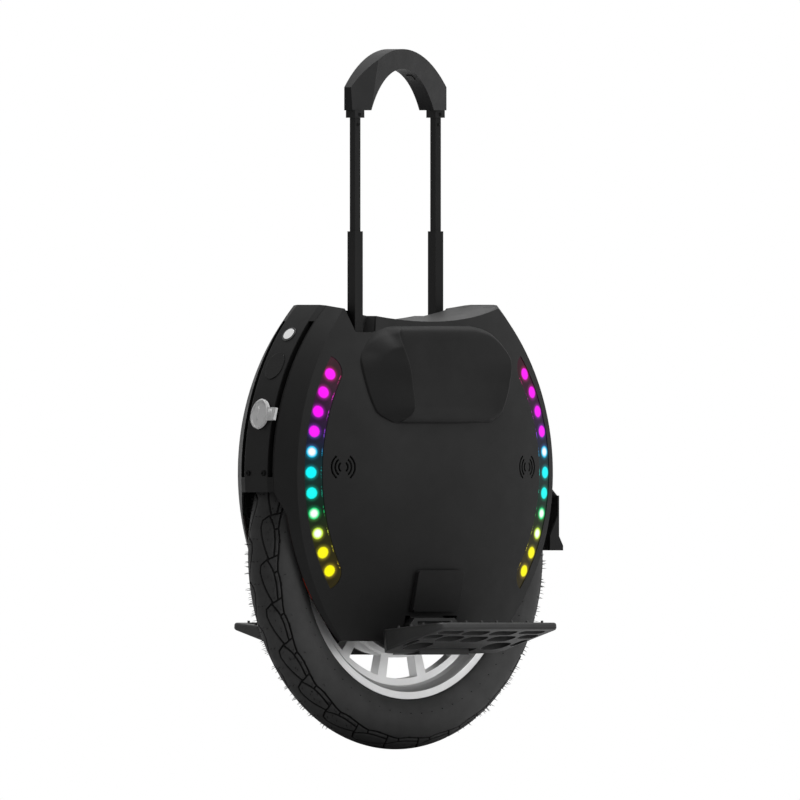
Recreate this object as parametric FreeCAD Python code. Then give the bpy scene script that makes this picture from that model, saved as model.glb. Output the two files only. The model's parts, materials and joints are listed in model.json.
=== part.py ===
import FreeCAD, Part
import math
import os

os.makedirs("parts", exist_ok=True)
Vec = FreeCAD.Vector

# Frame: millimetres, +Z up, +X forward, +Y to the rider's left.
# Origin: the point where the tyre meets the ground, under the axle.

# Wheel
flange_radius = 182.0
tyre_section = 63.0
tyre_radius = flange_radius + tyre_section
tyre_half_width = 34.0
tyre_wall = 5.5
bead_width = 5.7
bead_gap = 0.1
sidewall_bulge_share = 0.93
flange_half_width = 23.0
flange_thick = 2.7
flange_face = 9.0
flange_lip = 1.6
bead_seat_drop = 8.5
bead_seat_radius = flange_radius - bead_seat_drop
rim_well_depth = 4.0
rim_well_half_width = 12.5
rim_bed_thick = 4.5
spoke_half_thick = 7.0
drum_depth = 38.5
rim_inner_radius = bead_seat_radius - rim_well_depth - rim_bed_thick
drum_radius = rim_inner_radius - drum_depth
window_count = 14
window_inner_edge = 3.0
window_outer_edge = 9.0
window_inner_radius = drum_radius + window_inner_edge
window_outer_radius = rim_inner_radius - window_outer_edge
window_share = 0.78
wheel_turn = 1.6
drum_wall = 8.5
drum_half_width = 25.0
valve_radius = 3.9
valve_reach = 6.5
valve_root = 5.0
valve_length = bead_seat_radius + valve_root - window_inner_radius - valve_reach
valve_cap_radius = 4.8
valve_cap_length = 9.0
tube_wall = 1.5
tube_gap = 0.8
valve_gap = 0.2

# Motor inside the drum
magnet_thick = 5.5
magnet_half_length = 16.0
magnet_count = 40
magnet_share = 0.9
air_gap = 0.6
tooth_count = 24
tooth_tip_thick = 4.5
tooth_tip_share = 0.78
stack_half_length = 15.0
tooth_tip_gap = 2.4
coil_length = 18.0
coil_seat = 3.0
yoke_depth = 22.0
tip_radius = drum_radius - drum_wall - magnet_thick - air_gap
coil_outer_radius = tip_radius - tooth_tip_thick - tooth_tip_gap
coil_inner_radius = coil_outer_radius - coil_length
yoke_outer_radius = coil_inner_radius - coil_seat
yoke_inner_radius = yoke_outer_radius - yoke_depth
coil_width_share = 0.108
tooth_width_share = 0.0517
coil_half_width = coil_inner_radius * coil_width_share
tooth_half_width = coil_inner_radius * tooth_width_share
coil_overhang = 5.4
coil_gap = 0.1
carrier_half_thick = 9.0
carrier_hole_count = 6
carrier_hole_radius = 11.0
carrier_hole_pitch = 38.0
cover_thick = 5.0
cover_edge = 2.0
cover_boss_radius = 30.0
cover_boss_step = 1.0
cover_screw_count = 8
cover_screw_turn_share = 0.72
screw_radius = 2.0
screw_head_radius = 3.6
screw_head_height = 2.4
screw_depth = 14.0
screw_clearance = 0.12

# Axle and bearings
axle_radius = 10.0
axle_half_length = 68.0
axle_flat_half = 7.0
axle_flat_start = 34.0
bearing_outer_radius = 23.5
bearing_split_radius = 14.0
bearing_half_gap = 0.35
bearing_width = 14.0
nut_radius = 14.0
nut_thick = 10.0
nut_sides = 6
fit_gap = 0.05

# Body envelope, set out from the axle and from the arch over the tyre
axle_height = tyre_radius
spine_radius = tyre_radius - tyre_half_width
tyre_clearance = 5.0
arch_thick = 2.5
arch_radius = tyre_radius + tyre_clearance
body_rise = 106.0
body_centre_height = axle_height + body_rise
side_bulge = 91.0
side_radius = 690.0
ring_offset = 45.6
ring_rise = 102.0
ring_height = axle_height + ring_rise
face_over_arch = 40.0
front_face_radius = arch_radius + face_over_arch
front_face_half = 20.0
cover_half_width = 29.0
bevel_drop = 2.5
bevel_radius = front_face_radius - bevel_drop
bevel_slope_share = 0.7234
bevel_length_share = math.sqrt(1 + bevel_slope_share ** 2)
envelope_reach = 110.0
wall = 3.0
seam = 0.3
deck_room = 40.0
deck_lowest = axle_height + arch_radius + arch_thick + deck_room
deck_radius = 559.0
panel_foot_drop = 109.0
panel_foot = axle_height - panel_foot_drop
tongue_rise = 129.0
tongue_drop = 16.0
tongue_centre_height = axle_height + tongue_rise
tongue_radius = tongue_centre_height - panel_foot + tongue_drop
tongue_start = 52.0
case_inner_half = 37.5
case_thick = 2.5
case_outer = case_inner_half + case_thick
well_edge = case_outer + seam
well_edge_rise = 49.0
well_edge_height = axle_height + well_edge_rise
cover_foot_rise = 78.0
cover_foot = axle_height + cover_foot_rise
panel_floor = 3.0
far = 900.0

# Notch and pocket round the trolley tubes
tube_x = 117.5
notch_depth = 13.5
notch_height = 46.0
notch_floor = deck_lowest - notch_depth
notch_top = notch_floor + notch_height
notch_rear = 22.0
notch_front = 7.5
notch_flare = 14.0
notch_floor_rear = tube_x - notch_rear
notch_floor_front = tube_x + notch_front
notch_top_rear = notch_floor_rear - notch_flare
notch_top_front = notch_floor_front + notch_flare
pocket_gap = 0.4
pocket_back = case_outer + pocket_gap
pocket_lip = 2.4
pocket_hole_gap = 0.9

# Wheel well
case_gap = 1.0
case_radius = bevel_radius - bevel_slope_share * (case_outer - cover_half_width)
case_radius = case_radius - wall * bevel_length_share - case_gap
case_top_drop = 22.5
case_top = deck_lowest - case_top_drop
arch_front_rise = 85.0
arch_rear_rise = 51.0
arch_front_end = axle_height + arch_front_rise
arch_rear_end = axle_height + arch_rear_rise
case_axle_hole = 13.0
seal_width = 4.0
seal_depth = 2.3

# Front and rear covers
cover_skin_half = 16.0
cover_flange_depth = 12.5
cover_flange_radius = front_face_radius - cover_flange_depth
arch_envelope = cover_flange_radius - case_gap / 2
guard_gap = 0.5
guard_thick = 2.5
guard_radius = arch_radius + arch_thick + guard_gap
front_cover_clear = arch_radius + arch_thick + guard_gap
rear_cover_clear = guard_radius + guard_thick + guard_gap
rear_cover_rise = 101.0
rear_cover_foot = axle_height + rear_cover_rise
groove_depth = 9.4
groove_floor_radius = front_face_radius - groove_depth
groove_inner = 20.8
groove_outer = 28.2
groove_rise = 0.5
groove_top = deck_lowest + groove_rise
groove_foot_rise = 19.0
groove_rib_half = 0.5
groove_rib_at = 24.5
groove_rib_drop = 5.4
groove_rib_radius = front_face_radius - groove_rib_drop
cover_screw_side = 13.8
cover_screw_rise = 24.0

# Side lights
lens_shift = 12.6
lens_offset = ring_offset - lens_shift
lens_drop = 3.0
lens_height = body_centre_height - lens_drop
lens_margin = 43.0
lens_width = 24.0
lens_outer_radius = front_face_radius - lens_margin
lens_inner_radius = lens_outer_radius - lens_width
lens_height_share = 0.591
lens_inner_height_share = 0.5244
lens_half_height = lens_outer_radius * lens_height_share
lens_inner_half_height = lens_inner_radius * lens_inner_height_share
lens_tip_radius_share = 0.39
lens_tip_angle_share = 0.9
lens_recess = 0.8
lens_skin = 1.4
lens_side = 1.6
lens_depth = 8.0
lens_gap = 0.15
board_thick = 1.6
chip_count = 11
chip_radius = 4.2
chip_height = 2.6
chip_margin = 9.0
chip_arc_radius = lens_outer_radius - chip_margin
chip_half_angle = 31.3

# Sound slots and speakers
slot_margin = 29.0
slot_rise = 6.7
slot_centre_x = lens_inner_radius - lens_offset - slot_margin
slot_centre_height = lens_height + slot_rise
slot_radii = (6.4, 11.5, 16.6)
slot_width = 2.6
slot_half_angle = 56.0
speaker_radius = 17.5
speaker_depth = 16.0

# Knee pad: height over the body's centre, half length, front edge rise, place of the ridge,
# ridge rise, hollow rise, rear edge rise
pad_levels = (
    (58.5, 86.0, 1.2, 55.0, 2.6, 1.6, 2.0),
    (73.0, 111.0, 1.6, 59.0, 10.0, 3.6, 5.5),
    (104.0, 121.0, 1.8, 62.0, 15.0, 4.6, 13.5),
    (136.0, 125.5, 2.0, 67.0, 19.5, 7.0, 19.5),
    (159.0, 114.0, 2.0, 72.0, 21.0, 10.5, 13.0),
    (174.0, 99.0, 1.8, 70.0, 15.0, 11.0, 8.0),
    (181.5, 80.0, 1.2, 60.0, 4.0, 4.0, 2.6),
)
pad_root = 40.0
pad_round_share = 0.6
pad_wall_share = 0.74
pad_wall_foot_share = 0.1
pad_ramp_share = 0.22
pad_ramp_middle_share = 0.62
pad_ramp_rise_share = 0.4
hanger_cover_half = 40.0
hanger_cover_gap = 5.0
hanger_cover_height = 52.0
hanger_cover_rise = 6.0
hanger_cover_corner = 5.0

# Pedals and hangers; a pocket has its middle along the pedal, half length, inner and outer edge
pin_side = 78.0
pin_drop = 105.0
pin_height = axle_height - pin_drop
pin_radius = 5.0
pin_half_length = 62.0
joint_gap = 0.35
pedal_tilt = 5.0
pedal_half_length = 104.0
pedal_reach = 111.0
pedal_corner = 8.0
pedal_top = 10.0
pedal_inner_bottom = -19.0
pedal_outer_bottom = 1.5
pedal_edge_round = 3.2
pedal_cutout_reach = 22.0
knuckle_inner = -11.0
knuckle_half = 60.0
pedal_shoulder_half = 82.0
pedal_shoulder = -4.0
pedal_end_inner = 6.0
pedal_plate = 3.0
pocket_middle = (0.0, 19.0, 49.0, 76.0)
pocket_cells = (
    (68.0, 19.0, 15.0, 48.0),
    (94.5, 5.0, 32.0, 60.0),
    (45.0, 20.0, 53.0, 78.0),
    (83.0, 14.0, 66.0, 84.0),
    (24.0, 21.0, 82.0, 101.0),
    (71.0, 20.0, 88.0, 102.0),
)
pocket_round_share = 0.42
sheet_corner = 6.0
grip_half_length = 91.0
grip_inner = 27.0
grip_outer = 99.0
grip_thick = 1.0
stud_radius = 1.6
stud_height = 2.6
stud_side_positions = (30.0, 52.0, 74.0)
stud_side_x = 98.0
stud_edge = 105.5
stud_edge_half = 80.0
stud_edge_count = 7
hanger_inner = case_outer
hanger_thick = 16.0
hanger_half_width = 29.0
hanger_boss_radius = 29.0
hanger_foot_drop = 21.0
hanger_foot = pin_height - hanger_foot_drop
hinge_half = 43.0
pedal_side_gap = 2.5
pedal_cutout_half = hinge_half + pedal_side_gap
hinge_block_rise = 9.0
hinge_block_top = pin_height + hinge_block_rise
hinge_reach = 10.0
hinge_outer = pin_side + hinge_reach
hinge_upper_rise = 25.0
hinge_upper_top = pin_height + hinge_upper_rise
hinge_upper_outer = 71.0
hinge_chamfer = 8.0
hinge_pocket_half = 30.0
hinge_pocket_depth = 9.0
hinge_pocket_wall = 4.0
panel_cutout_gap = 2.0
panel_cutout_rise = 3.0
panel_cutout_half = hinge_half + panel_cutout_gap
panel_cutout_top = hinge_upper_top + panel_cutout_rise
hanger_cover_foot = panel_cutout_top + hanger_cover_gap
hanger_cover_top = hanger_cover_foot + hanger_cover_height

# Trolley
middle_size = 13.7
middle_wall = 1.8
inner_size = 9.5
inner_wall = 1.2
guide_gap = 0.3
guide_wall = 0.95
guide_size = middle_size + 2 * guide_gap + 2 * guide_wall
guide_side_gap = 0.25
tube_y = case_outer + guide_size / 2 + guide_side_gap
guide_drop = 4.0
guide_room = 0.4
guide_plug = 4.0
middle_travel = 100.0
middle_exposed = 131.0
middle_overlap = 86.0
top_exposed = 142.6
top_overlap = 71.0
stop_room = 6.0
guide_top = notch_floor - guide_drop
middle_bottom = guide_top - middle_overlap
middle_top = guide_top + middle_exposed
guide_bottom = middle_bottom - middle_travel - stop_room
inner_bottom = middle_top - top_overlap
collar_bottom = middle_top + top_exposed
collar_height = 9.4
collar_top = collar_bottom + collar_height
collar_size = 16.5
grip_rise = 77.0
grip_end_rise = 29.0
grip_opening_rise = 52.0
grip_overhang = 11.5
grip_leg = 28.5
tube_span = math.hypot(tube_x, tube_y)
grip_top = collar_top + grip_rise
grip_end_top = collar_top + grip_end_rise
grip_half = tube_span + grip_overhang
grip_width = 20.0
grip_opening_half = tube_span - grip_leg
grip_opening_top = collar_top + grip_opening_rise
grip_facet_low_end = 1.3
grip_facet_high_reach = 78.0
grip_facet_rise = 60.0
grip_facet_high = collar_top + grip_facet_rise
grip_slope_at = 49.0
grip_button_half = 7.0
grip_button_half_width = 3.4
grip_button_depth = 6.0
grip_button_proud = 1.2
grip_button_gap = 0.4
grip_button_travel = 1.6

# Fittings on the front and rear covers
button_drop = 16.0
button_at = deck_lowest - button_drop
button_radius = 8.0
button_gap = 0.35
housing_radius = 10.4
housing_lip = 0.8
housing_depth = 14.0
housing_floor = 2.0
button_proud = 1.4
button_length = 8.0
lamp_drop = 55.5
lamp_at = deck_lowest - lamp_drop
lamp_half_width = 14.5
lamp_half_height = 19.0
lamp_depth = 5.0
lamp_proud = 0.5
lamp_gap = 0.15
module_radius = 11.0
module_depth = 16.0
port_rise = 74.0
port_at = ring_height + port_rise
socket_radius = 10.0
socket_bore = 6.6
socket_depth = 22.0
socket_floor = 3.0
cap_half_width = 14.5
cap_half_height = 19.5
cap_thick = 4.0
cap_lift = 0.4
cap_hinge_side = 26.5
cap_tab_half = 8.0
cap_tab_end = 1.6

# Mudguard behind the tyre
guard_half_width = 32.0
guard_neck_half = 28.5
guard_neck_top_rise = 107.0
guard_neck_foot_rise = 89.0
guard_stand = 11.0
guard_shoulder_rise = 74.0
guard_foot_rise = 5.0
guard_lip_out = 7.0
guard_lip_rise = 6.0
guard_lip_slope = 18.0
guard_side_depth = 16.0
guard_side_thick = 2.4
guard_side_rise = 46.0
guard_back = tyre_radius + guard_stand
guard_foot = axle_height + guard_foot_rise
guard_screw_rise = 95.0
guard_screw_at = axle_height + guard_screw_rise
guard_screw_side = 9.0
guard_screw_length = 5.4

# Inside the pods and above the wheel
battery_half_length = 98.0
battery_thick = 25.0
battery_foot_rise = 55.0
battery_height = 178.0
battery_outer = case_outer + battery_thick
battery_foot = axle_height + battery_foot_rise
battery_top = battery_foot + battery_height
sink_half_length = 58.0
sink_half_width = 33.0
sink_gap = 0.5
sink_foot = axle_height + arch_radius + arch_thick + sink_gap
sink_base = 4.0
sink_fin_count = 7
sink_fin_thick = 2.0
sink_fin_height = 9.0
board_margin = 6.0
control_board_thick = 1.8
chip_block_half = 9.0
chip_block_height = 6.0
overrun = 5.0

half_turn = 180.0
full_turn = 360.0
root_half = math.sqrt(0.5)


def box(x0, x1, y0, y1, z0, z1):
    return Part.makeBox(x1 - x0, y1 - y0, z1 - z0, Vec(x0, y0, z0))


def rod_y(x, z, radius, y0, y1):
    return Part.makeCylinder(radius, y1 - y0, Vec(x, y0, z), Vec(0, 1, 0))


def rod_x(y, z, radius, x0, x1):
    return Part.makeCylinder(radius, x1 - x0, Vec(x0, y, z), Vec(1, 0, 0))


def path(points):
    """Closed wire; a corner is a point, or a pair (point on an arc, arc end)."""
    edges = []
    here = points[0]
    for corner in points[1:]:
        if isinstance(corner, tuple):
            edges.append(Part.Arc(here, corner[0], corner[1]).toShape())
            here = corner[1]
        else:
            edges.append(Part.makeLine(here, corner))
            here = corner
    if (here - points[0]).Length > seam * seam:
        edges.append(Part.makeLine(here, points[0]))
    return Part.Wire(edges)


def prism(points, direction):
    return Part.Face(path(points)).extrude(direction)


def spin(profile, x=0.0, z=axle_height, angle=full_turn):
    """Turn a closed profile of (y, radius) corners about an axis along Y."""
    points = []
    for corner in profile:
        if len(corner) == 4:
            bend = Vec(x, corner[0], z + corner[1])
            points.append((bend, Vec(x, corner[2], z + corner[3])))
        else:
            points.append(Vec(x, corner[0], z + corner[1]))
    return Part.Face(path(points)).revolve(Vec(x, 0, z), Vec(0, 1, 0), angle)


def about_axle(shape, degrees):
    copy = shape.copy()
    copy.rotate(Vec(0, 0, axle_height), Vec(0, 1, 0), degrees)
    return copy


def turned(shape):
    """The other side: the same piece turned half a turn about the vertical."""
    copy = shape.copy()
    copy.rotate(Vec(0, 0, 0), Vec(0, 0, 1), half_turn)
    return copy


def mirrored(shape):
    return shape.mirror(Vec(0, 0, 0), Vec(0, 1, 0))


def rear_of(shape):
    return shape.mirror(Vec(0, 0, 0), Vec(1, 0, 0))


def save(shape, name):
    shape.exportStep("parts/" + name + ".step")


# Wheel

def tyre():
    heel = flange_half_width - flange_thick - bead_gap
    toe = heel - bead_width
    seat = bead_seat_radius + bead_gap
    over = flange_radius + flange_thick * root_half / 2
    shoulder = (spine_radius + over) / 2
    bulge = tyre_half_width * sidewall_bulge_share
    inside = tyre_half_width - tyre_wall
    outer_bend = tyre_half_width * root_half
    inner_bend = inside * root_half
    root = over + bead_gap
    toe_top = toe + bead_width / 4
    inner_side = (inside + toe_top) / 2 + bead_width / 2
    profile = [
        (-heel, seat), (-heel, over), (-flange_half_width - flange_lip, root + bead_gap),
        (-bulge, shoulder, -tyre_half_width, spine_radius),
        (-outer_bend, spine_radius + outer_bend, 0, tyre_radius),
        (outer_bend, spine_radius + outer_bend, tyre_half_width, spine_radius),
        (bulge, shoulder, flange_half_width + flange_lip, root + bead_gap),
        (heel, over), (heel, seat), (toe, seat), (toe_top, over),
        (inner_side, shoulder - bead_gap, inside, spine_radius),
        (inner_bend, spine_radius + inner_bend, 0, spine_radius + inside),
        (-inner_bend, spine_radius + inner_bend, -inside, spine_radius),
        (-inner_side, shoulder - bead_gap, -toe_top, over),
        (-toe, seat),
    ]
    return spin(profile)


def inner_tube():
    radius = tyre_half_width - tyre_wall - tube_gap
    centre = Vec(0, 0, axle_height)
    outer = Part.makeTorus(spine_radius, radius, centre, Vec(0, 1, 0))
    hollow = Part.makeTorus(spine_radius, radius - tube_wall, centre, Vec(0, 1, 0))
    return outer.cut(hollow)


def rim_window():
    half_angle = half_turn / window_count * window_share
    sine = math.sin(math.radians(half_angle))
    cosine = math.cos(math.radians(half_angle))
    low, high = window_inner_radius, window_outer_radius
    y = -spoke_half_thick - overrun
    points = [
        Vec(-low * sine, y, axle_height + low * cosine),
        (Vec(0, y, axle_height + low), Vec(low * sine, y, axle_height + low * cosine)),
        Vec(high * sine, y, axle_height + high * cosine),
        (Vec(0, y, axle_height + high), Vec(-high * sine, y, axle_height + high * cosine)),
    ]
    return prism(points, Vec(0, -2 * y, 0))


def wheel_rim():
    bed = bead_seat_radius - rim_well_depth
    inside = rim_inner_radius
    flange_inner = flange_half_width - flange_thick
    slope = rim_well_half_width + flange_lip
    lip = flange_radius - flange_face
    half = [
        (spoke_half_thick, inside), (slope, inside + flange_lip),
        (flange_inner, lip - flange_thick), (flange_half_width, lip),
        (flange_half_width, flange_radius), (flange_inner, flange_radius),
        (flange_inner, bead_seat_radius), (slope, bead_seat_radius),
        (rim_well_half_width, bed),
    ]
    drum_bore = drum_radius - drum_wall
    other = [(-y, radius) for y, radius in reversed(half)]
    profile = half + other + [
        (-spoke_half_thick, drum_radius), (-drum_half_width, drum_radius),
        (-drum_half_width, drum_bore), (drum_half_width, drum_bore),
        (drum_half_width, drum_radius), (spoke_half_thick, drum_radius),
    ]
    cuts = []
    for i in range(window_count):
        cuts.append(about_axle(rim_window(), wheel_turn + full_turn / window_count * i))
    cuts.append(valve_rod(valve_radius + valve_gap, valve_length))
    cuts.extend(motor_screw_rods(screw_radius + screw_clearance))
    return spin(profile).cut(Part.makeCompound(cuts))


def valve_rod(radius, length):
    top = axle_height + bead_seat_radius + valve_root
    rod = Part.makeCylinder(radius, length, Vec(0, 0, top - length), Vec(0, 0, 1))
    return about_axle(rod, wheel_turn)


def valve_stem():
    stem = valve_rod(valve_radius, valve_length)
    foot = axle_height + bead_seat_radius + valve_root - valve_length
    cap = Part.makeCylinder(valve_cap_radius, valve_cap_length, Vec(0, 0, foot - tube_wall), Vec(0, 0, 1))
    seat = axle_height + spine_radius - tyre_half_width + tyre_wall + tube_gap
    neck_foot = axle_height + bead_seat_radius + valve_root - tube_wall
    neck = Part.makeCylinder(valve_radius, seat - neck_foot, Vec(0, 0, neck_foot), Vec(0, 0, 1))
    return stem.fuse([about_axle(cap, wheel_turn), about_axle(neck, wheel_turn)])


def magnet_ring():
    outer = drum_radius - drum_wall
    inner = outer - magnet_thick
    pitch = full_turn / magnet_count
    profile = [
        (-magnet_half_length, inner), (magnet_half_length, inner),
        (magnet_half_length, outer), (-magnet_half_length, outer),
    ]
    one = spin(profile, angle=pitch * magnet_share)
    return Part.makeCompound([about_axle(one, pitch * i) for i in range(magnet_count)])


def motor_screw_rods(radius):
    pitch = drum_radius - drum_wall / 2
    start = drum_half_width + cover_thick - screw_depth
    rods = []
    for i in range(cover_screw_count):
        rod = rod_y(0, axle_height + pitch, radius, start, drum_half_width + cover_thick)
        rod = about_axle(rod, full_turn / cover_screw_count * (i + cover_screw_turn_share))
        rods.extend([rod, mirrored(rod)])
    return rods


def motor_cover():
    face = drum_half_width + cover_thick
    inside = face + cover_boss_step - bearing_width - cover_boss_step
    seat = bearing_outer_radius + fit_gap
    profile = [
        (drum_half_width, drum_radius), (face - cover_edge, drum_radius),
        (face, drum_radius - cover_edge), (face, cover_boss_radius),
        (face + cover_boss_step, cover_boss_radius - cover_boss_step),
        (face + cover_boss_step, seat), (inside, seat),
        (inside, cover_boss_radius), (drum_half_width, cover_boss_radius),
    ]
    return spin(profile).cut(Part.makeCompound(motor_screw_rods(screw_radius + screw_clearance)))


def motor_covers():
    left = motor_cover()
    return Part.makeCompound([left, mirrored(left)])


def motor_cover_screws():
    face = drum_half_width + cover_thick
    pitch = drum_radius - drum_wall / 2
    screws = []
    for i in range(cover_screw_count):
        shank = rod_y(0, axle_height + pitch, screw_radius, face - screw_depth, face)
        head = rod_y(0, axle_height + pitch, screw_head_radius, face, face + screw_head_height)
        screw = about_axle(shank.fuse(head), full_turn / cover_screw_count * (i + cover_screw_turn_share))
        screws.extend([screw, mirrored(screw)])
    return Part.makeCompound(screws)


def bearing_ring(inner, outer):
    face = drum_half_width + cover_thick + cover_boss_step
    start = face - bearing_width
    profile = [(start, inner), (face, inner), (face, outer), (start, outer)]
    ring = spin(profile)
    return Part.makeCompound([ring, turned(ring)])


# Fixed parts of the motor

def axle():
    rod = rod_y(0, axle_height, axle_radius, -axle_half_length, axle_half_length)
    for sign in (-1, 1):
        for side in (-1, 1):
            z0 = axle_height + min(side * axle_flat_half, side * axle_radius)
            y0 = min(sign * axle_flat_start, sign * (axle_half_length + overrun))
            length = axle_half_length + overrun - axle_flat_start
            depth = axle_radius - axle_flat_half
            flat = Part.makeBox(2 * axle_radius, length, depth, Vec(-axle_radius, y0, z0))
            rod = rod.cut(flat)
    return rod


def stator_carrier():
    bore = axle_radius + fit_gap
    profile = [
        (-carrier_half_thick, bore), (carrier_half_thick, bore),
        (carrier_half_thick, yoke_inner_radius), (-carrier_half_thick, yoke_inner_radius),
    ]
    holes = []
    for i in range(carrier_hole_count):
        hole = rod_y(0, axle_height + carrier_hole_pitch, carrier_hole_radius,
                     -carrier_half_thick - overrun, carrier_half_thick + overrun)
        holes.append(about_axle(hole, full_turn / carrier_hole_count * i))
    return spin(profile).cut(Part.makeCompound(holes))


def stator_core():
    y = stack_half_length
    yoke = spin([(-y, yoke_inner_radius), (y, yoke_inner_radius),
                 (y, yoke_outer_radius), (-y, yoke_outer_radius)])
    pitch = full_turn / tooth_count
    tip_base = tip_radius - tooth_tip_thick
    tip = spin([(-y, tip_base), (y, tip_base), (y, tip_radius), (-y, tip_radius)],
               angle=pitch * tooth_tip_share)
    tip = about_axle(tip, -pitch * tooth_tip_share / 2)
    stem = box(-tooth_half_width, tooth_half_width, -y, y,
               axle_height + yoke_outer_radius - overrun, axle_height + tip_base + air_gap)
    teeth = []
    for i in range(tooth_count):
        teeth.append(about_axle(tip, pitch * i))
        teeth.append(about_axle(stem, pitch * i))
    return yoke.multiFuse(teeth)


def stator_windings():
    y = stack_half_length
    low = axle_height + coil_inner_radius
    high = axle_height + coil_outer_radius
    block = box(-coil_half_width, coil_half_width, -y - coil_overhang, y + coil_overhang, low, high)
    core_half = tooth_half_width + coil_gap
    core = box(-core_half, core_half, -y - coil_gap, y + coil_gap, low - overrun, high + overrun)
    coil = block.cut(core)
    pitch = full_turn / tooth_count
    return Part.makeCompound([about_axle(coil, pitch * i) for i in range(tooth_count)])


def axle_nuts():
    start = hanger_inner + hanger_thick
    corners = []
    for i in range(nut_sides):
        angle = math.radians(full_turn / nut_sides * i)
        corners.append(Vec(nut_radius * math.cos(angle), start,
                           axle_height + nut_radius * math.sin(angle)))
    nut = prism(corners, Vec(0, nut_thick, 0))
    nut = nut.cut(axle())
    return Part.makeCompound([nut, turned(nut)])


def pedal_pin():
    return rod_x(pin_side, pin_height, pin_radius, -pin_half_length, pin_half_length)


def hanger():
    outer = hanger_inner + hanger_thick
    boss = rod_y(0, axle_height, hanger_boss_radius, hanger_inner, outer)
    arm = box(-hanger_half_width, hanger_half_width, hanger_inner, outer, hanger_foot, axle_height)
    lower = box(-hinge_half, hinge_half, hanger_inner, hinge_outer, hanger_foot, hinge_block_top)
    y0, z1 = hanger_inner, hinge_upper_top
    base = hinge_block_top - hinge_chamfer
    ends = hinge_half - hinge_chamfer
    upper = prism([Vec(-hinge_half, y0, base), Vec(hinge_half, y0, base),
                   Vec(hinge_half, y0, z1 - hinge_chamfer), Vec(ends, y0, z1),
                   Vec(-ends, y0, z1), Vec(-hinge_half, y0, z1 - hinge_chamfer)],
                  Vec(0, hinge_upper_outer - y0, 0))
    body = boss.fuse([arm, lower, upper])
    recess = box(-hinge_pocket_half, hinge_pocket_half, hinge_upper_outer - hinge_pocket_depth,
                 hinge_upper_outer + overrun, hinge_block_top + hinge_pocket_wall,
                 hinge_upper_top - hinge_pocket_wall)
    bore = rod_x(pin_side, pin_height, pin_radius + fit_gap, -pin_half_length, pin_half_length)
    return body.cut([recess, bore, axle()]).removeSplitter()


# Body envelope

def side_ball(drop):
    return Part.makeSphere(side_radius - drop, Vec(0, side_bulge - side_radius, body_centre_height))


def bevel_at(y):
    return bevel_radius - bevel_slope_share * (y - cover_half_width)


def rings(profile):
    """The solid common to the front ring and the rear ring of one profile."""
    front = spin(profile, -ring_offset, ring_height)
    rear = spin(profile, ring_offset, ring_height)
    return front.common(rear)


def side_solid(drop, start):
    """Left half of the body from the plane Y = start out, set in by drop."""
    inset = drop * bevel_length_share
    profile = [(start, 0), (start, bevel_at(start) - inset),
               (envelope_reach, bevel_at(envelope_reach) - inset), (envelope_reach, 0)]
    return rings(profile).common(side_ball(drop))


def saddle(drop):
    """Everything above the dished top face, lowered by drop."""
    return rod_y(0, deck_lowest + deck_radius, deck_radius + drop, -far, far)


def notch():
    points = [Vec(notch_floor_rear, pocket_back, notch_floor),
              Vec(notch_floor_front, pocket_back, notch_floor),
              Vec(notch_top_front, pocket_back, notch_top),
              Vec(notch_top_rear, pocket_back, notch_top)]
    return prism(points, Vec(0, envelope_reach, 0))


def notches():
    one = notch()
    return [one, turned(one)]


def lens_outline(grow, y, sign):
    """Outline of a side light in the plane at Y, wider by grow on every side."""
    outer = lens_outer_radius + grow
    inner = lens_inner_radius - grow
    tip_angle = math.asin((lens_half_height + grow) / lens_outer_radius)
    inner_angle = math.asin((lens_inner_half_height + grow / 2) / lens_inner_radius)
    shoulder = inner + (outer - inner) * lens_tip_radius_share
    bend_angle = inner_angle + (tip_angle - inner_angle) * lens_tip_angle_share

    def at(radius, angle):
        x = sign * (radius * math.cos(angle) - lens_offset)
        return Vec(x, y, lens_height + radius * math.sin(angle))

    return [at(outer, -tip_angle), (at(outer, 0), at(outer, tip_angle)),
            (at(shoulder, bend_angle), at(inner, inner_angle)),
            (at(inner, 0), at(inner, -inner_angle)),
            (at(shoulder, -bend_angle), at(outer, -tip_angle))]


def lens_prism(grow, sign):
    return prism(lens_outline(grow, 0, sign), Vec(0, envelope_reach, 0))


def lens(sign):
    shell = side_ball(lens_recess).cut(side_ball(lens_recess + lens_depth))
    hollow = side_ball(lens_recess + lens_skin)
    return lens_prism(0, sign).common(shell).cut(lens_prism(-lens_side, sign).common(hollow))


def led_board(sign):
    top = lens_recess + lens_depth
    return lens_prism(0, sign).common(side_ball(top).cut(side_ball(top + board_thick)))


def led_chips(sign):
    top = lens_recess + lens_depth
    layer = side_ball(top - chip_height).cut(side_ball(top))
    chips = []
    for i in range(chip_count):
        angle = math.radians(chip_half_angle * (1 - 2 * i / (chip_count - 1)))
        x = sign * (chip_arc_radius * math.cos(angle) - lens_offset)
        z = lens_height + chip_arc_radius * math.sin(angle)
        chips.append(rod_y(x, z, chip_radius, 0, envelope_reach).common(layer))
    return chips


def sound_slots(sign):
    centre = sign * slot_centre_x
    cuts = []
    for radius in slot_radii:
        ring = rod_y(centre, slot_centre_height, radius + slot_width / 2, 0, envelope_reach)
        ring = ring.cut(rod_y(centre, slot_centre_height, radius - slot_width / 2, 0, envelope_reach))
        reach = radius + slot_width
        rise = reach * math.tan(math.radians(slot_half_angle))
        wedge = prism([Vec(centre, 0, slot_centre_height),
                       Vec(centre + reach, 0, slot_centre_height - rise),
                       Vec(centre + reach, 0, slot_centre_height + rise)], Vec(0, envelope_reach, 0))
        part = ring.common(wedge)
        other = part.copy()
        other.rotate(Vec(centre, 0, slot_centre_height), Vec(0, 1, 0), half_turn)
        cuts.extend([part, other])
    return cuts


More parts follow.
